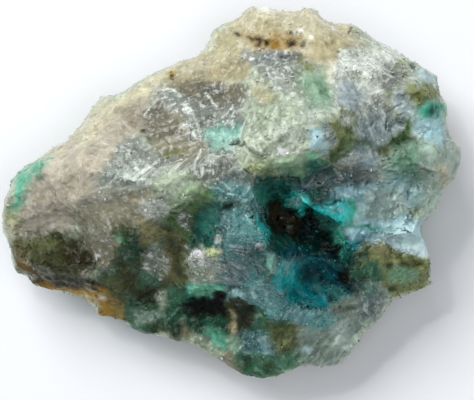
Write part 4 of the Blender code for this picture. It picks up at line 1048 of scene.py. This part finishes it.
@dataclass
class StoneSkin:
    """The stone's own body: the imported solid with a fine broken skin.

    Attributes:
        voxel: Spacing of the skin's points, in millimetres.
        smoothings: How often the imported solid's own triangles are eased.
        fractures: The sizes of facet that the skin is broken into.
        grain: Width and height of the finest grain, in millimetres.
        rim_hold: How much less the steep faces break, so that the stone keeps its outline.
        flat_height: Height in millimetres up to which a point belongs to the flat it rests on.
        firm_height: Height over which the breaking fades in above that flat.
        foot: Height of the low places, which have no relief and few triangles.
        overhang: How far down a face looks before it counts as unseen, from 0 to 1.
        triangles: How many triangles the skin has at most.
        unseen_share: How many of their triangles the low and the overhung places keep.
        unseen_pull: How much sooner they are thinned than what is seen.
        warp_sizes: Width and reach of the strays of a patch's edge, coarse then fine.
        steep_stray: How much further those edges stray on a wall.
        mark_fade: Height in millimetres over which the marks fade in above the foot.
        mark_drop: How much further down they reach on a face that looks up.
        bare_rock: Mineral and shade of the rock under everything.
        bare_face: Mineral and shade of the broad face between its patches.
        hollow_rounds: How often the skin is eased to find what stands out of it.
        hollow_depth: How far a point stands out at the most that counts, in millimetres.
    """

    voxel: float = 0.175
    smoothings: int = 4
    fractures: tuple[Fracture, ...] = (
        Fracture(4.2, 0.70, 0.12, 0.10, 0.20, 37),
        Fracture(2.1, 0.92, 0.24, 0.10, 0.35, 41),
        Fracture(1.05, 0.92, 0.30, 0.06, 0.40, 43),
        Fracture(0.58, 0.80, 0.30, 0.03, 0.35, 47),
    )
    grain: tuple[float, float] = (0.45, 0.02)
    rim_hold: float = 0.75
    flat_height: float = 0.02
    firm_height: float = 0.8
    foot: float = 4
    overhang: float = 0.1
    triangles: int = 196000
    unseen_share: float = 0.28
    unseen_pull: float = 10
    warp_sizes: tuple[tuple[float, float], ...] = ((2.6, 0.5), (0.9, 0.35), (0.38, 0.22))
    steep_stray: float = 1.6
    mark_fade: float = 3
    mark_drop: float = 5
    bare_rock: tuple[Mineral, float] = (Mineral.BEIGE, 0.45)
    bare_face: tuple[Mineral, float] = (Mineral.PALE, 0.7)
    hollow_rounds: int = 8
    hollow_depth: float = 0.22
    piece: Object = field(init=False)

    def build(self) -> Object:
        """Makes the skin's mesh.

        Returns:
            The piece, still in millimetres.
        """
        shell = bmesh.new()
        shell.from_mesh(bpy.data.objects["stone"].data)
        bmesh.ops.remove_doubles(shell, verts=shell.verts, dist=1e-7)
        mesh = bpy.data.meshes.new("stone_skin")
        shell.to_mesh(mesh)
        shell.free()
        mesh.transform(Matrix.Scale(1 / MM, 4))
        self.piece = bpy.data.objects.new("stone_skin", mesh)
        bpy.context.scene.collection.objects.link(self.piece)
        even = self.piece.modifiers.new("even_skin", "REMESH")
        even.mode, even.voxel_size = "VOXEL", self.voxel
        settle_modifiers(self.piece)
        mesh = self.piece.data
        move_points(mesh, eased(mesh, mesh_points(mesh), self.smoothings))
        area = sum(face.area for face in mesh.polygons)
        self._raise_relief()
        self._break(area)
        self._thin_out()
        return self.piece

    def _warp(self, points: np.ndarray) -> np.ndarray:
        """Works out how far a ragged edge strays at each point, in plan."""
        return sum(
            noise_vector_at(points, size)[:, :2] * reach for size, reach in self.warp_sizes
        )

    def _raise_relief(self) -> None:
        """Lifts and sinks the patches and seams that stand up or lie deep."""
        mesh = self.piece.data
        points = mesh_points(mesh)
        warp = self._warp(points)
        facing_up = smoothstep(mesh_normals(mesh)[:, 2] * 3)
        plan, added = seen_plan(points), np.zeros(len(points))
        for mark in all_marks():
            if mark.rise:
                near, cover = mark.cover(plan, warp)
                added[near] += mark.rise * cover
        points[:, 2] += added * facing_up * (points[:, 2] > self.foot)
        move_points(mesh, points)

    def _break(self, area: float) -> None:
        """Breaks the skin into facets, and puts a fine grain on them.

        Args:
            area: The skin's area in square millimetres, before its relief.
        """
        mesh = self.piece.data
        points = mesh_points(mesh)
        flat = points[:, 2] < self.flat_height
        free = smoothstep(points[:, 2] / self.firm_height)[:, None]
        tone, crystal_way = np.zeros(len(points)), None
        for fracture in self.fractures:
            normals = mesh_normals(mesh)
            moves, tones, ways = fracture.offsets(points, normals, area)
            crystal_way = ways if crystal_way is None else crystal_way
            points += moves * free * (1 - self.rim_hold * (1 - np.abs(normals[:, 2:])))
            tone += tones * fracture.contrast
            move_points(mesh, points)
        keep_trait(mesh, "facet", tone)
        ways = mesh.attributes.new("way", "FLOAT_VECTOR", "POINT")
        ways.data.foreach_set("vector", crystal_way.ravel())
        width, height = self.grain
        points += mesh_normals(mesh) * (noise_at(points, width)[:, None] * height) * free
        points[flat, 2] = 0
        move_points(mesh, points)

    def _thin_out(self) -> None:
        """Thins the underside first, and then what is flat, to keep within the triangles."""
        mesh = self.piece.data
        points, normals = mesh_points(mesh), mesh_normals(mesh)
        unseen = (points[:, 2] < self.foot) | (normals[:, 2] < -self.overhang)
        group = self.piece.vertex_groups.new(name="unseen")
        group.add(np.flatnonzero(unseen).tolist(), 1.0, "REPLACE")
        faces = sum(len(face.vertices) - 2 for face in mesh.polygons)
        left = faces * (1 - unseen.mean() * (1 - self.unseen_share))
        thinned = (("thin_underside", left / faces), ("thin_flats", self.triangles / left))
        for name, share in thinned:
            fewer = self.piece.modifiers.new(name, "DECIMATE")
            fewer.ratio = min(1, share)
            fewer.use_collapse_triangulate = True
            if name == "thin_underside":
                fewer.vertex_group, fewer.vertex_group_factor = group.name, self.unseen_pull
        settle_modifiers(self.piece)
        self.piece.vertex_groups.clear()
        low, high = np.array(CAD_BOX) / MM
        move_points(self.piece.data, np.clip(mesh_points(self.piece.data), low, high))

    def coat(self) -> None:
        """Lays the minerals on the skin."""
        mesh = self.piece.data
        points = mesh_points(mesh)
        facing_up = mesh_normals(mesh)[:, 2]
        coat = Coat(len(points))
        everywhere = np.arange(len(points))
        coat.lay(*self.bare_rock, everywhere, np.ones(len(points)))
        Flank().lay(coat, points)
        height = points[:, 2] + self.mark_drop * facing_up
        from_above = smoothstep((height - self.foot) / self.mark_fade)
        coat.lay(*self.bare_face, everywhere, from_above)
        plan = seen_plan(points)
        warp = self._warp(points) * (1 + self.steep_stray * (1 - np.abs(facing_up)))[:, None]
        for mark in all_marks():
            near, cover = mark.cover(plan, warp)
            coat.lay(mark.mineral, mark.shade, near, cover * from_above[near])
            if not cover.any():
                LOG.warning("%s covers none of the skin", mark.name)
        coat.write(mesh)
        self._write_hollows(points, mesh_normals(mesh))

    def _write_hollows(self, points: np.ndarray, normals: np.ndarray) -> None:
        """Keeps how far each point stands out of the skin about it, as an attribute."""
        mesh = self.piece.data
        standing = ((points - eased(mesh, points, self.hollow_rounds)) * normals).sum(1)
        keep_trait(mesh, "standing", np.clip(standing / self.hollow_depth, -1, 1))

    def dress(self, quartz: Material, crust: Material) -> None:
        """Gives the skin its place, its materials and its body.

        Args:
            quartz: The material of the bare quartz.
            crust: The material of the crusts on it.
        """
        mesh = self.piece.data
        mesh.transform(Matrix.Scale(MM, 4))
        mesh.materials.clear()
        for material in (quartz, crust):
            mesh.materials.append(material)
        crusted = np.empty(len(mesh.vertices))
        mesh.attributes["crust"].data.foreach_get("value", crusted)
        for face in mesh.polygons:
            face.material_index = int(crusted[list(face.vertices)].mean() > 0.5)
        mesh.shade_smooth()
        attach(self.piece, BODY)
        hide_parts("stone")


@dataclass(frozen=True)
class Flank:
    """The minerals of the sides and the underside, where they lie in drifts.

    Attributes:
        drifts: Mineral, shade, width of a drift in millimetres, how much of the rock it leaves
            bare from -1 to 1, and its cover.
        fringe: How much finer the fringes of a drift are than the drift, and how strong.
        edge: How soft its edge is.
    """

    drifts: tuple[tuple[Mineral, float, float, float, float], ...] = (
        (Mineral.GREY, 0.50, 9.0, -0.10, 0.9),
        (Mineral.SMOKY, 0.40, 6.0, 0.10, 0.8),
        (Mineral.OLIVE, 0.40, 8.0, 0.12, 0.8),
        (Mineral.BROWN, 0.60, 5.0, 0.22, 0.8),
        (Mineral.JADE, 0.55, 7.0, 0.20, 0.8),
        (Mineral.TURQUOISE, 0.70, 5.5, 0.34, 0.8),
        (Mineral.MILKY, 0.60, 3.4, 0.26, 0.7),
        (Mineral.OCHRE, 0.55, 4.4, 0.34, 0.8),
    )
    fringe: tuple[float, float] = (5, 0.25)
    edge: float = 0.12

    def lay(self, coat: Coat, points: np.ndarray) -> None:
        """Lays the drifts on a coat.

        Args:
            coat: The coat that gets them.
            points: The skin's points, in millimetres.
        """
        everywhere = np.arange(len(points))
        finer, height = self.fringe
        for seed, (mineral, shade, width, bare, share) in enumerate(self.drifts):
            drift = noise_at(points, width, seed + 1)
            drift += noise_at(points, width / finer, seed + 9) * height
            cover = smoothstep((drift - bare) / self.edge + 0.5) * share
            coat.lay(mineral, shade, everywhere, cover)


def all_marks() -> list[Mark]:
    """Lists every patch and seam in the order it is laid."""
    return [Patch(*row) for zone in ZONES for row in zone] + [Vein(*row) for row in SEAMS]


class Habit(Enum):
    """The shapes that grow on the skin or lie in it."""

    POINT = "a six-sided quartz point"
    SHARD = "an angular chip of quartz"
    CRUMB = "a crumb of iron oxide"
    BEAD = "a rounded bead of copper silicate"


@dataclass
class Overgrowth:
    """One kind of small grain that is scattered on the skin where its mineral lies.

    Attributes:
        name: Name of the piece.
        habit: Shape of a grain.
        trait: The skin's attribute that holds how many grow on a square millimetre.
        size: Mean width of a grain in millimetres.
        spread: How far widths differ from the mean, as a share of it.
        tilt: How far a grain leans from the skin's normal, in radians.
        seed: Seed of the scatter.
        clear_of_floor: Height below which none grow, in millimetres.
    """

    name: str
    habit: Habit
    trait: str
    size: float
    spread: float
    tilt: float
    seed: int
    clear_of_floor: float = 1.2
    piece: Object = field(init=False)

    def build(self, skin: Object, material: Material) -> Object:
        """Scatters the grains on the skin.

        Args:
            skin: The finished skin.
            material: The grains' material.

        Returns:
            The piece, on its body.
        """
        self.piece = bpy.data.objects.new(self.name, skin.data.copy())
        bpy.context.scene.collection.objects.link(self.piece)
        tree = self._tree(material)
        scatter = self.piece.modifiers.new("scatter", "NODES")
        scatter.node_group = tree
        values = {"Width": self.size * MM, "Spread": self.spread, "Tilt": self.tilt,
                  "Seed": self.seed, "Clear of Floor": self.clear_of_floor * MM}
        for item in tree.interface.items_tree:
            if item.in_out == "INPUT" and item.name in values:
                scatter[item.identifier] = values[item.name]
        settle_modifiers(self.piece)
        self.piece.data.materials.clear()
        self.piece.data.materials.append(material)
        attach(self.piece, BODY)
        return self.piece

    def _tree(self, material: Material) -> NodeTree:
        """Builds the nodes that scatter the grains.

        Args:
            material: The grains' material.

        Returns:
            The tree, with its sizes as named inputs.
        """
        tree = bpy.data.node_groups.new(self.name, "GeometryNodeTree")
        for name, kind in (
            ("Geometry", "NodeSocketGeometry"), ("Width", "NodeSocketFloat"),
            ("Spread", "NodeSocketFloat"), ("Tilt", "NodeSocketFloat"),
            ("Seed", "NodeSocketInt"), ("Clear of Floor", "NodeSocketFloat"),
        ):
            tree.interface.new_socket(name, in_out="INPUT", socket_type=kind)
        tree.interface.new_socket("Geometry", in_out="OUTPUT", socket_type="NodeSocketGeometry")
        made = dict(add_node(tree, "NodeGroupInput").outputs.items())

        place = add_node(tree, "GeometryNodeInputPosition")
        made["height"] = add_node(tree, "ShaderNodeSeparateXYZ", {0: place}).outputs["Z"]
        made["density"] = add_node(
            tree, "GeometryNodeInputNamedAttribute", {"Name": self.trait}, data_type="FLOAT"
        ).outputs["Attribute"]
        for name, operation, *values in (
            ("above", "GREATER_THAN", "height", "Clear of Floor"),
            ("here", "MULTIPLY", "density", "above"),
            ("on a square metre", "MULTIPLY", "here", 1 / MM**2),
            ("least tilt", "MULTIPLY", "Tilt", -1),
            ("less", "SUBTRACT", 1.0, "Spread"),
            ("least width", "MULTIPLY", "Width", "less"),
            ("more", "ADD", 1.0, "Spread"),
            ("most width", "MULTIPLY", "Width", "more"),
            ("width seed", "ADD", "Seed", 5),
        ):
            sockets = {key: made.get(value, value) for key, value in enumerate(values)}
            made[name] = add_node(tree, "ShaderNodeMath", sockets, operation=operation)
        for name, *axes in (
            ("least lean", "least tilt", "least tilt", 0.0),
            ("most lean", "Tilt", "Tilt", math.tau),
            ("smallest", "least width", "least width", "least width"),
            ("largest", "most width", "most width", "most width"),
        ):
            sockets = {key: made.get(value, value) for key, value in enumerate(axes)}
            made[name] = add_node(tree, "ShaderNodeCombineXYZ", sockets)
        scatter = add_node(tree, "GeometryNodeDistributePointsOnFaces", {
            "Mesh": made["Geometry"], "Seed": made["Seed"], "Density": made["on a square metre"],
        })
        upright = add_node(tree, "FunctionNodeAlignRotationToVector", {
            "Vector": scatter.outputs["Normal"],
        }, axis="Z")
        lean = add_node(tree, "FunctionNodeRandomValue", {
            "Min": made["least lean"], "Max": made["most lean"], "Seed": made["Seed"],
        }, data_type="FLOAT_VECTOR")
        turned = add_node(tree, "FunctionNodeRotateRotation", {
            "Rotation": upright, "Rotate By": lean.outputs["Value"],
        }, rotation_space="LOCAL")
        width = add_node(tree, "FunctionNodeRandomValue", {
            "Min": made["smallest"], "Max": made["largest"], "Seed": made["width seed"],
        }, data_type="FLOAT_VECTOR")
        placed = add_node(tree, "GeometryNodeInstanceOnPoints", {
            "Points": scatter.outputs["Points"], "Instance": self._grain(tree),
            "Rotation": turned, "Scale": width.outputs["Value"],
        })
        real = add_node(tree, "GeometryNodeRealizeInstances", {"Geometry": placed})
        faced = add_node(tree, "GeometryNodeSetMaterial", {
            "Geometry": real, "Material": material,
        })
        add_node(tree, "NodeGroupOutput", {"Geometry": faced})
        return tree

    def _grain(self, tree: NodeTree) -> NodeSocket:
        """Makes one grain, about 1 wide and half sunk in the skin.

        Args:
            tree: The tree that the grain is made in.

        Returns:
            The grain's mesh.
        """
        if self.habit is Habit.SHARD:
            return add_node(tree, "GeometryNodeMeshCube", {"Size": (1.0, 0.8, 0.7)}).outputs["Mesh"]
        if self.habit is Habit.CRUMB:
            return add_node(
                tree, "GeometryNodeMeshIcoSphere", {"Radius": 0.5, "Subdivisions": 1}
            ).outputs["Mesh"]
        if self.habit is Habit.BEAD:
            ball = add_node(
                tree, "GeometryNodeMeshUVSphere", {"Segments": 10, "Rings": 6, "Radius": 0.5}
            )
            return add_node(
                tree, "GeometryNodeSetShadeSmooth", {"Geometry": ball.outputs["Mesh"]}
            ).outputs["Geometry"]
        prism = add_node(tree, "GeometryNodeMeshCylinder", {
            "Vertices": 6, "Radius": 0.5, "Depth": 0.9,
        }).outputs["Mesh"]
        tip = add_node(tree, "GeometryNodeMeshCone", {
            "Vertices": 6, "Radius Bottom": 0.5, "Radius Top": 0.0, "Depth": 0.6,
        }).outputs["Mesh"]
        raised = add_node(tree, "GeometryNodeTransform", {
            "Geometry": tip, "Translation": (0.0, 0.0, 0.45),
        }).outputs["Geometry"]
        joined = add_node(tree, "GeometryNodeJoinGeometry")
        for part in (raised, prism):
            tree.links.new(part, joined.inputs[0])
        return joined.outputs[0]


@dataclass(frozen=True)
class GrainFinish:
    """A small grain that takes the tone of the stone it stands on.

    Attributes:
        name: Common name of the grain's stuff.
        ior: Its index of refraction.
        rough: Roughness of its faces.
        clear: How much light goes through it.
        wash: Colour that its tone is mixed with.
        share: How much of that colour it takes.
        gloss: Its specular level.
    """

    name: str
    ior: float
    rough: float
    clear: float
    wash: str
    share: float
    gloss: float

    def build(self) -> Material:
        """Makes the material.

        Returns:
            The material, for a piece that carries the skin's tint.
        """
        material = new_material(self.name, {
            "Roughness": self.rough, "IOR": self.ior, "Specular IOR Level": self.gloss,
            "Transmission Weight": self.clear,
        })
        tree = material.node_tree
        tint = add_node(tree, "ShaderNodeAttribute", attribute_name="tint").outputs["Color"]
        washed = add_node(tree, "ShaderNodeMix", {
            0: self.share, 6: tint, 7: linear(self.wash),
        }, data_type="RGBA").outputs[2]
        tree.links.new(washed, tree.nodes["Principled BSDF"].inputs["Base Color"])
        return material


@dataclass(frozen=True)
class BrokenStoneFinish:
    """A raw break through the stone, which reads its tones and grain from the skin's own traits.

    The break leaves grains that each lean their own way, so that it glitters, and white veils of
    fine cracks inside the stone. Sizes are in millimetres, and each tone says how far the tint
    swings with it.

    Attributes:
        name: Common name of what is broken.
        ior: Its index of refraction.
        gloss: Its specular level, lower where the face is too porous to shine.
        clear: How much of the light wanders under the skin.
        streak_tone: Tone of the streaks along a crystal, which also cut into its faces.
        cloud_tone: Tone of the fine clouds.
        grain: Width and tone of the grains.
        sugar: Width and tone of the finest grains, drawn as coarse as they need to show.
        cloud: Width of the fine clouds.
        mottle: Width and tone of the soft clouds.
        facet_tone: Tone of the broken facets, by the mineral's speckle and without it.
        ridge_tone: Tone of what stands out of the skin or lies deep, which is painted light on
            crests and painted shade in hollows.
        darkest: The least that the tint may sink to, as a share of itself.
        needle: Width of the needles and streaks along a crystal.
        needle_range: From where to where in the streaks a white needle fades in.
        drawn_out: How much longer than wide they are, from 0 to 1.
        frost_and_highlight: How far a point stands out before its edge is white.
        flash: Where the share of the finest grains that flash white starts, and how white; these
            flashes are painted glints, white laid on random grains.
        veil: Colour of the white veils, and how much of it they take.
        lean: How far the grains lean.
        cut: Depth of the streaks, and how strongly they are cut.
        depth: How far the light wanders under the skin.
        rough: How far grains differ in roughness, and the least roughness.
    """

    name: str
    ior: float
    gloss: float
    clear: float
    streak_tone: float
    cloud_tone: float
    grain: tuple[float, float] = (0.42, 0.9)
    sugar: tuple[float, float] = (0.19, 1.4)
    cloud: float = 0.55
    mottle: tuple[float, float] = (2.2, 0.9)
    facet_tone: tuple[float, float] = (0.55, 0.07)
    ridge_tone: float = 0.22
    darkest: float = 0.12
    needle: float = 0.50
    needle_range: tuple[float, float] = (0.54, 0.66)
    drawn_out: float = 0.90
    frost_and_highlight: float = 0.4
    flash: tuple[float, float] = (0.978, 0.8)
    veil: tuple[str, float] = ("#f2f6f0", 0.75)
    lean: float = 0.36
    cut: tuple[float, float] = (0.16, 0.22)
    depth: float = 0.9
    rough: tuple[float, float] = (0.24, 0.08)

    def build(self) -> Material:
        """Makes the material.

        Returns:
            The material, for the stone's skin.
        """
        material = new_material(self.name, {
            "IOR": self.ior, "Specular IOR Level": self.gloss, "Subsurface Weight": self.clear,
            "Subsurface Radius": (1.0, 1.0, 0.9), "Subsurface Scale": self.depth * MM,
        })
        tree = material.node_tree
        shader = tree.nodes["Principled BSDF"]
        made: dict[str, NodeSocket | Node] = {**self._patterns(tree)}
        for name, operation, *values in (
            # Tone: each pattern pushes it up or down, most of them by the mineral's own speckle.
            ("swing", "SUBTRACT", "grain 0", 0.5),
            ("tone", "MULTIPLY", "swing", self.grain[1]),
            ("swing", "SUBTRACT", "sugar 0", 0.5),
            ("tone", "MULTIPLY_ADD", "swing", self.sugar[1], "tone"),
            ("swing", "SUBTRACT", "cloud", 0.5),
            ("tone", "MULTIPLY_ADD", "swing", self.cloud_tone, "tone"),
            ("swing", "SUBTRACT", "streaks", 0.5),
            ("tone", "MULTIPLY_ADD", "swing", self.streak_tone, "tone"),
            ("tone", "MULTIPLY", "tone", "speckle"),
            ("swing", "SUBTRACT", "mottle", 0.5),
            ("tone", "MULTIPLY_ADD", "swing", self.mottle[1], "tone"),
            ("push", "MULTIPLY_ADD", "speckle", *self.facet_tone),
            ("tone", "MULTIPLY_ADD", "facet", "push", "tone"),
            # Painted shade where the skin lies deep, and painted light where it stands out.
            ("tone", "MULTIPLY_ADD", "standing", self.ridge_tone, "tone"),
            ("tone", "ADD", "tone", 1.0),
            ("tone", "MAXIMUM", "tone", self.darkest),
            # White: needles and healed cracks along each crystal, white edges, and flashes.
            # The white on edges is frost on broken quartz and also a painted highlight on crests.
            ("past frosted", "SUBTRACT", "standing", self.frost_and_highlight),
            ("edges", "MAXIMUM", "past frosted", 0.0),
            ("white", "MAXIMUM", "needles", "edges"),
            ("white", "MULTIPLY", "white", "veil"),
            # Flashes are painted glints: white laid on a few random grains.
            ("flashing", "GREATER_THAN", "sugar 1", self.flash[0]),
            ("flash", "MULTIPLY", "veil", self.flash[1]),
            ("white", "MULTIPLY_ADD", "flashing", "flash", "white"),
            ("white", "MULTIPLY", "white", self.veil[1]),
            # Faces: how far each grain leans, how deep its streaks are cut, and how rough it is.
            ("leaning", "MULTIPLY", "lean", self.lean),
            ("cut", "MULTIPLY", "streaks", "lean"),
            ("swing", "SUBTRACT", "grain 2", 0.5),
            ("rough", "MULTIPLY_ADD", "swing", self.rough[0], "rough"),
            ("rough", "MAXIMUM", "rough", self.rough[1]),
        ):
            sockets = {key: made.get(value, value) for key, value in enumerate(values)}
            made[name] = add_node(tree, "ShaderNodeMath", sockets, operation=operation)
        for name, operation, sockets in (
            ("tinted", "SCALE", {0: "tint", "Scale": "tone"}),
            ("grain lean", "SUBTRACT", {0: "grain", 1: (0.5, 0.5, 0.5)}),
            ("sugar lean", "SUBTRACT", {0: "sugar", 1: (0.5, 0.5, 0.5)}),
            ("both", "ADD", {0: "grain lean", 1: "sugar lean"}),
            ("leant", "SCALE", {0: "both", "Scale": "leaning"}),
            ("turned", "ADD", {0: "normal", 1: "leant"}),
            ("turned", "NORMALIZE", {0: "turned"}),
        ):
            sockets = {key: made.get(value, value) for key, value in sockets.items()}
            made[name] = add_node(tree, "ShaderNodeVectorMath", sockets, operation=operation)
        colour = add_node(tree, "ShaderNodeMix", {
            0: made["white"], 6: made["tinted"], 7: linear(self.veil[0]),
        }, data_type="RGBA").outputs[2]
        depth, strength = self.cut
        bump = add_node(tree, "ShaderNodeBump", {
            "Strength": strength * self.streak_tone, "Distance": depth * MM,
            "Height": made["cut"], "Normal": made["turned"],
        })
        tree.links.new(colour, shader.inputs["Base Color"])
        tree.links.new(made["rough"].outputs[0], shader.inputs["Roughness"])
        tree.links.new(bump.outputs[0], shader.inputs["Normal"])
        return material

    def _patterns(self, tree: NodeTree) -> dict[str, NodeSocket]:
        """Adds the patterns in the stone, and reads the skin's traits.

        Args:
            tree: The material's nodes.

        Returns:
            What each pattern or trait gives, by name.
        """
        place = add_node(tree, "ShaderNodeTexCoord").outputs["Object"]
        made = {"normal": add_node(tree, "ShaderNodeNewGeometry").outputs["Normal"]}
        for name, output in (
            ("speckle", "Fac"), ("facet", "Fac"), ("standing", "Fac"), ("veil", "Fac"),
            ("lean", "Fac"), ("rough", "Fac"), ("tint", "Color"), ("way", "Vector"),
        ):
            trait = add_node(tree, "ShaderNodeAttribute", attribute_name=name)
            made[name] = trait.outputs[output]
        for name, size in (("grain", self.grain[0]), ("sugar", self.sugar[0])):
            cells = add_node(
                tree, "ShaderNodeTexVoronoi", {"Vector": place, "Scale": 1 / (size * MM)}
            )
            made[name] = cells.outputs["Color"]
            parts = add_node(tree, "ShaderNodeSeparateColor", {0: made[name]})
            made |= {f"{name} {part}": parts.outputs[part] for part in range(3)}
        drawn = self._draw_out(tree, place, made["way"])
        for name, where, size, detail, roughness in (
            ("cloud", place, self.cloud, 4, 0.7),
            ("mottle", place, self.mottle[0], 3, 0.6),
            ("streaks", drawn, self.needle, 2, 0.6),
        ):
            made[name] = add_node(tree, "ShaderNodeTexNoise", {
                "Vector": where, "Scale": 1 / (size * MM), "Detail": detail,
                "Roughness": roughness,
            }).outputs["Fac"]
        low, high = self.needle_range
        made["needles"] = add_node(tree, "ShaderNodeMapRange", {
            "Value": made["streaks"], "From Min": low, "From Max": high,
        }).outputs[0]
        return made

    def _draw_out(
        self, tree: NodeTree, place: NodeSocket, way: NodeSocket
    ) -> Node:
        """Presses the stone together along the way of each crystal, so that clouds turn to streaks.

        Args:
            tree: The material's nodes.
            place: Where a point of the stone is.
            way: Which way its crystal is drawn out.

        Returns:
            Where the point is in the pressed stone.
        """
        along = add_node(
            tree, "ShaderNodeVectorMath", {0: place, 1: way}, operation="DOT_PRODUCT"
        ).outputs["Value"]
        back = add_node(
            tree, "ShaderNodeMath", {0: along, 1: -self.drawn_out}, operation="MULTIPLY"
        )
        pressed = add_node(
            tree, "ShaderNodeVectorMath", {0: way, "Scale": back}, operation="SCALE"
        )
        return add_node(tree, "ShaderNodeVectorMath", {0: place, 1: pressed})


@dataclass
class Studio:
    """The plain pale floor, the soft light and the camera.

    Attributes:
        floor_half: Half the floor's width in metres.
        floor_colour: Colour of its matt paper.
        lights: Name, place, width and power of each square panel, in metres and watts.
        air: Colour and strength of the light from all round.
        sensor: Width of the camera's sensor in millimetres.
        frame_width: Width in metres that the camera sees at its target.
        target: What the camera looks at, in metres.
        distance: How far above its target the camera is, in metres.
    """

    floor_half: float = 1.5
    floor_colour: str = "#f8f9fc"
    lights: tuple[tuple[str, tuple[float, float, float], float, float], ...] = (
        ("window", (-0.32, 0.44, 0.62), 0.50, 5.0),
        ("top_panel", (0.08, -0.05, 0.80), 0.50, 1.4),
        ("spark", (-0.14, 0.20, 0.50), 0.03, 0.20),
    )
    air: tuple[str, float] = ("#eef3fa", 0.34)
    sensor: float = 36
    frame_width: float = 0.0474
    target: tuple[float, float, float] = VIEW_TARGET
    distance: float = VIEW_HEIGHT

    def build(self) -> None:
        """Sets up the floor, the lights, the air and the camera."""
        self._lay_floor()
        for light in self.lights:
            self._hang_light(*light)
        colour, strength = self.air
        world = bpy.data.worlds.new("pale_room")
        world.use_nodes = True
        room = world.node_tree.nodes["Background"]
        room.inputs["Color"].default_value = linear(colour)
        room.inputs["Strength"].default_value = strength
        bpy.context.scene.world = world
        bpy.context.scene.view_settings.view_transform = "Standard"
        self._set_camera()

    def _lay_floor(self) -> None:
        """Lays the floor."""
        half = self.floor_half
        mesh = bpy.data.meshes.new("floor")
        corners = [(-half, -half, 0), (half, -half, 0), (half, half, 0), (-half, half, 0)]
        mesh.from_pydata(corners, [], [(0, 1, 2, 3)])
        floor = bpy.data.objects.new("floor", mesh)
        bpy.context.scene.collection.objects.link(floor)
        # Matt paper, uncoated: even and pale, with soft shadows and no reflection.
        colour = linear(self.floor_colour)
        mesh.materials.append(new_material("matt_paper", {"Base Color": colour, "Roughness": 0.9}))

    def _hang_light(
        self, name: str, place: tuple[float, float, float], size: float, power: float
    ) -> None:
        """Hangs a square panel that lights the stone.

        Args:
            name: The panel's name.
            place: Where it hangs, in metres.
            size: Its width in metres.
            power: Its power in watts.
        """
        lamp = bpy.data.lights.new(name, "AREA")
        lamp.size, lamp.energy = size, power
        panel = bpy.data.objects.new(name, lamp)
        panel.location = place
        aim = Vector(self.target) - Vector(place)
        panel.rotation_euler = aim.to_track_quat("-Z", "Y").to_euler()
        bpy.context.scene.collection.objects.link(panel)

    def _set_camera(self) -> None:
        """Sets the camera straight above the stone."""
        lens = bpy.data.cameras.new("camera")
        lens.sensor_width = self.sensor
        lens.lens = lens.sensor_width * self.distance / self.frame_width
        lens.clip_start, lens.clip_end = 0.01, 10
        camera = bpy.data.objects.new("camera", lens)
        x, y, z = self.target
        camera.location = (x, y, z + self.distance)
        bpy.context.scene.collection.objects.link(camera)
        bpy.context.scene.camera = camera


def main() -> None:
    """Builds and dresses the stone, and sets it in the studio."""
    logging.basicConfig(level=logging.INFO, format="%(name)s: %(message)s")
    noise.seed_set(NOISE_SEED)
    Studio().build()
    skin = StoneSkin()
    skin.build()
    skin.coat()
    # Vein quartz, broken: glassy grains that each catch the light, crossed by white needles.
    quartz = BrokenStoneFinish("broken_vein_quartz", 1.544, 0.5, 0.40, 2.3, 2.0)
    # A crust of copper and iron minerals, weathered: dull and cloudy, with hardly a streak.
    crust = BrokenStoneFinish(
        "earthy_copper_and_iron_crust", 1.5, 0.15, 0.12, 0.5, 3.2, drawn_out=0.6
    )
    skin.dress(quartz.build(), crust.build())
    LOG.info("stone_skin: %d faces", len(skin.piece.data.polygons))
    for growth, finish in (
        # Quartz points, as grown: clear flat faces with small sharp lights.
        (Overgrowth("drusy_points", Habit.POINT, "crystals", 0.19, 0.5, 0.6, 3),
         GrainFinish("drusy_quartz", 1.544, 0.15, 0.25, "#d6eeee", 0.14, 0.35)),
        # Milky quartz, chipped: white in its thickness and bright on its breaks.
        (Overgrowth("quartz_shards", Habit.SHARD, "shards", 0.26, 0.5, 3.1, 5),
         GrainFinish("chipped_milky_quartz", 1.544, 0.22, 0.15, "#f0f2ea", 0.45, 0.5)),
        # Iron oxide, weathered to crumbs: dark and matt.
        (Overgrowth("oxide_crumbs", Habit.CRUMB, "crumbs", 0.22, 0.5, 1.0, 7),
         GrainFinish("earthy_iron_oxide", 1.5, 0.70, 0.0, "#2c2410", 0.55, 0.2)),
        # Chrysocolla, grown in beads: waxy, and brighter than the crust it stands on.
        (Overgrowth("copper_beads", Habit.BEAD, "beads", 0.30, 0.4, 0.4, 9),
         GrainFinish("botryoidal_chrysocolla", 1.5, 0.32, 0.0, "#2fb0a4", 0.30, 0.4)),
    ):
        piece = growth.build(skin.piece, finish.build())
        LOG.info("%s: %d faces of %s", piece.name, len(piece.data.polygons), growth.habit.value)


if __name__ == "__main__":
    main()
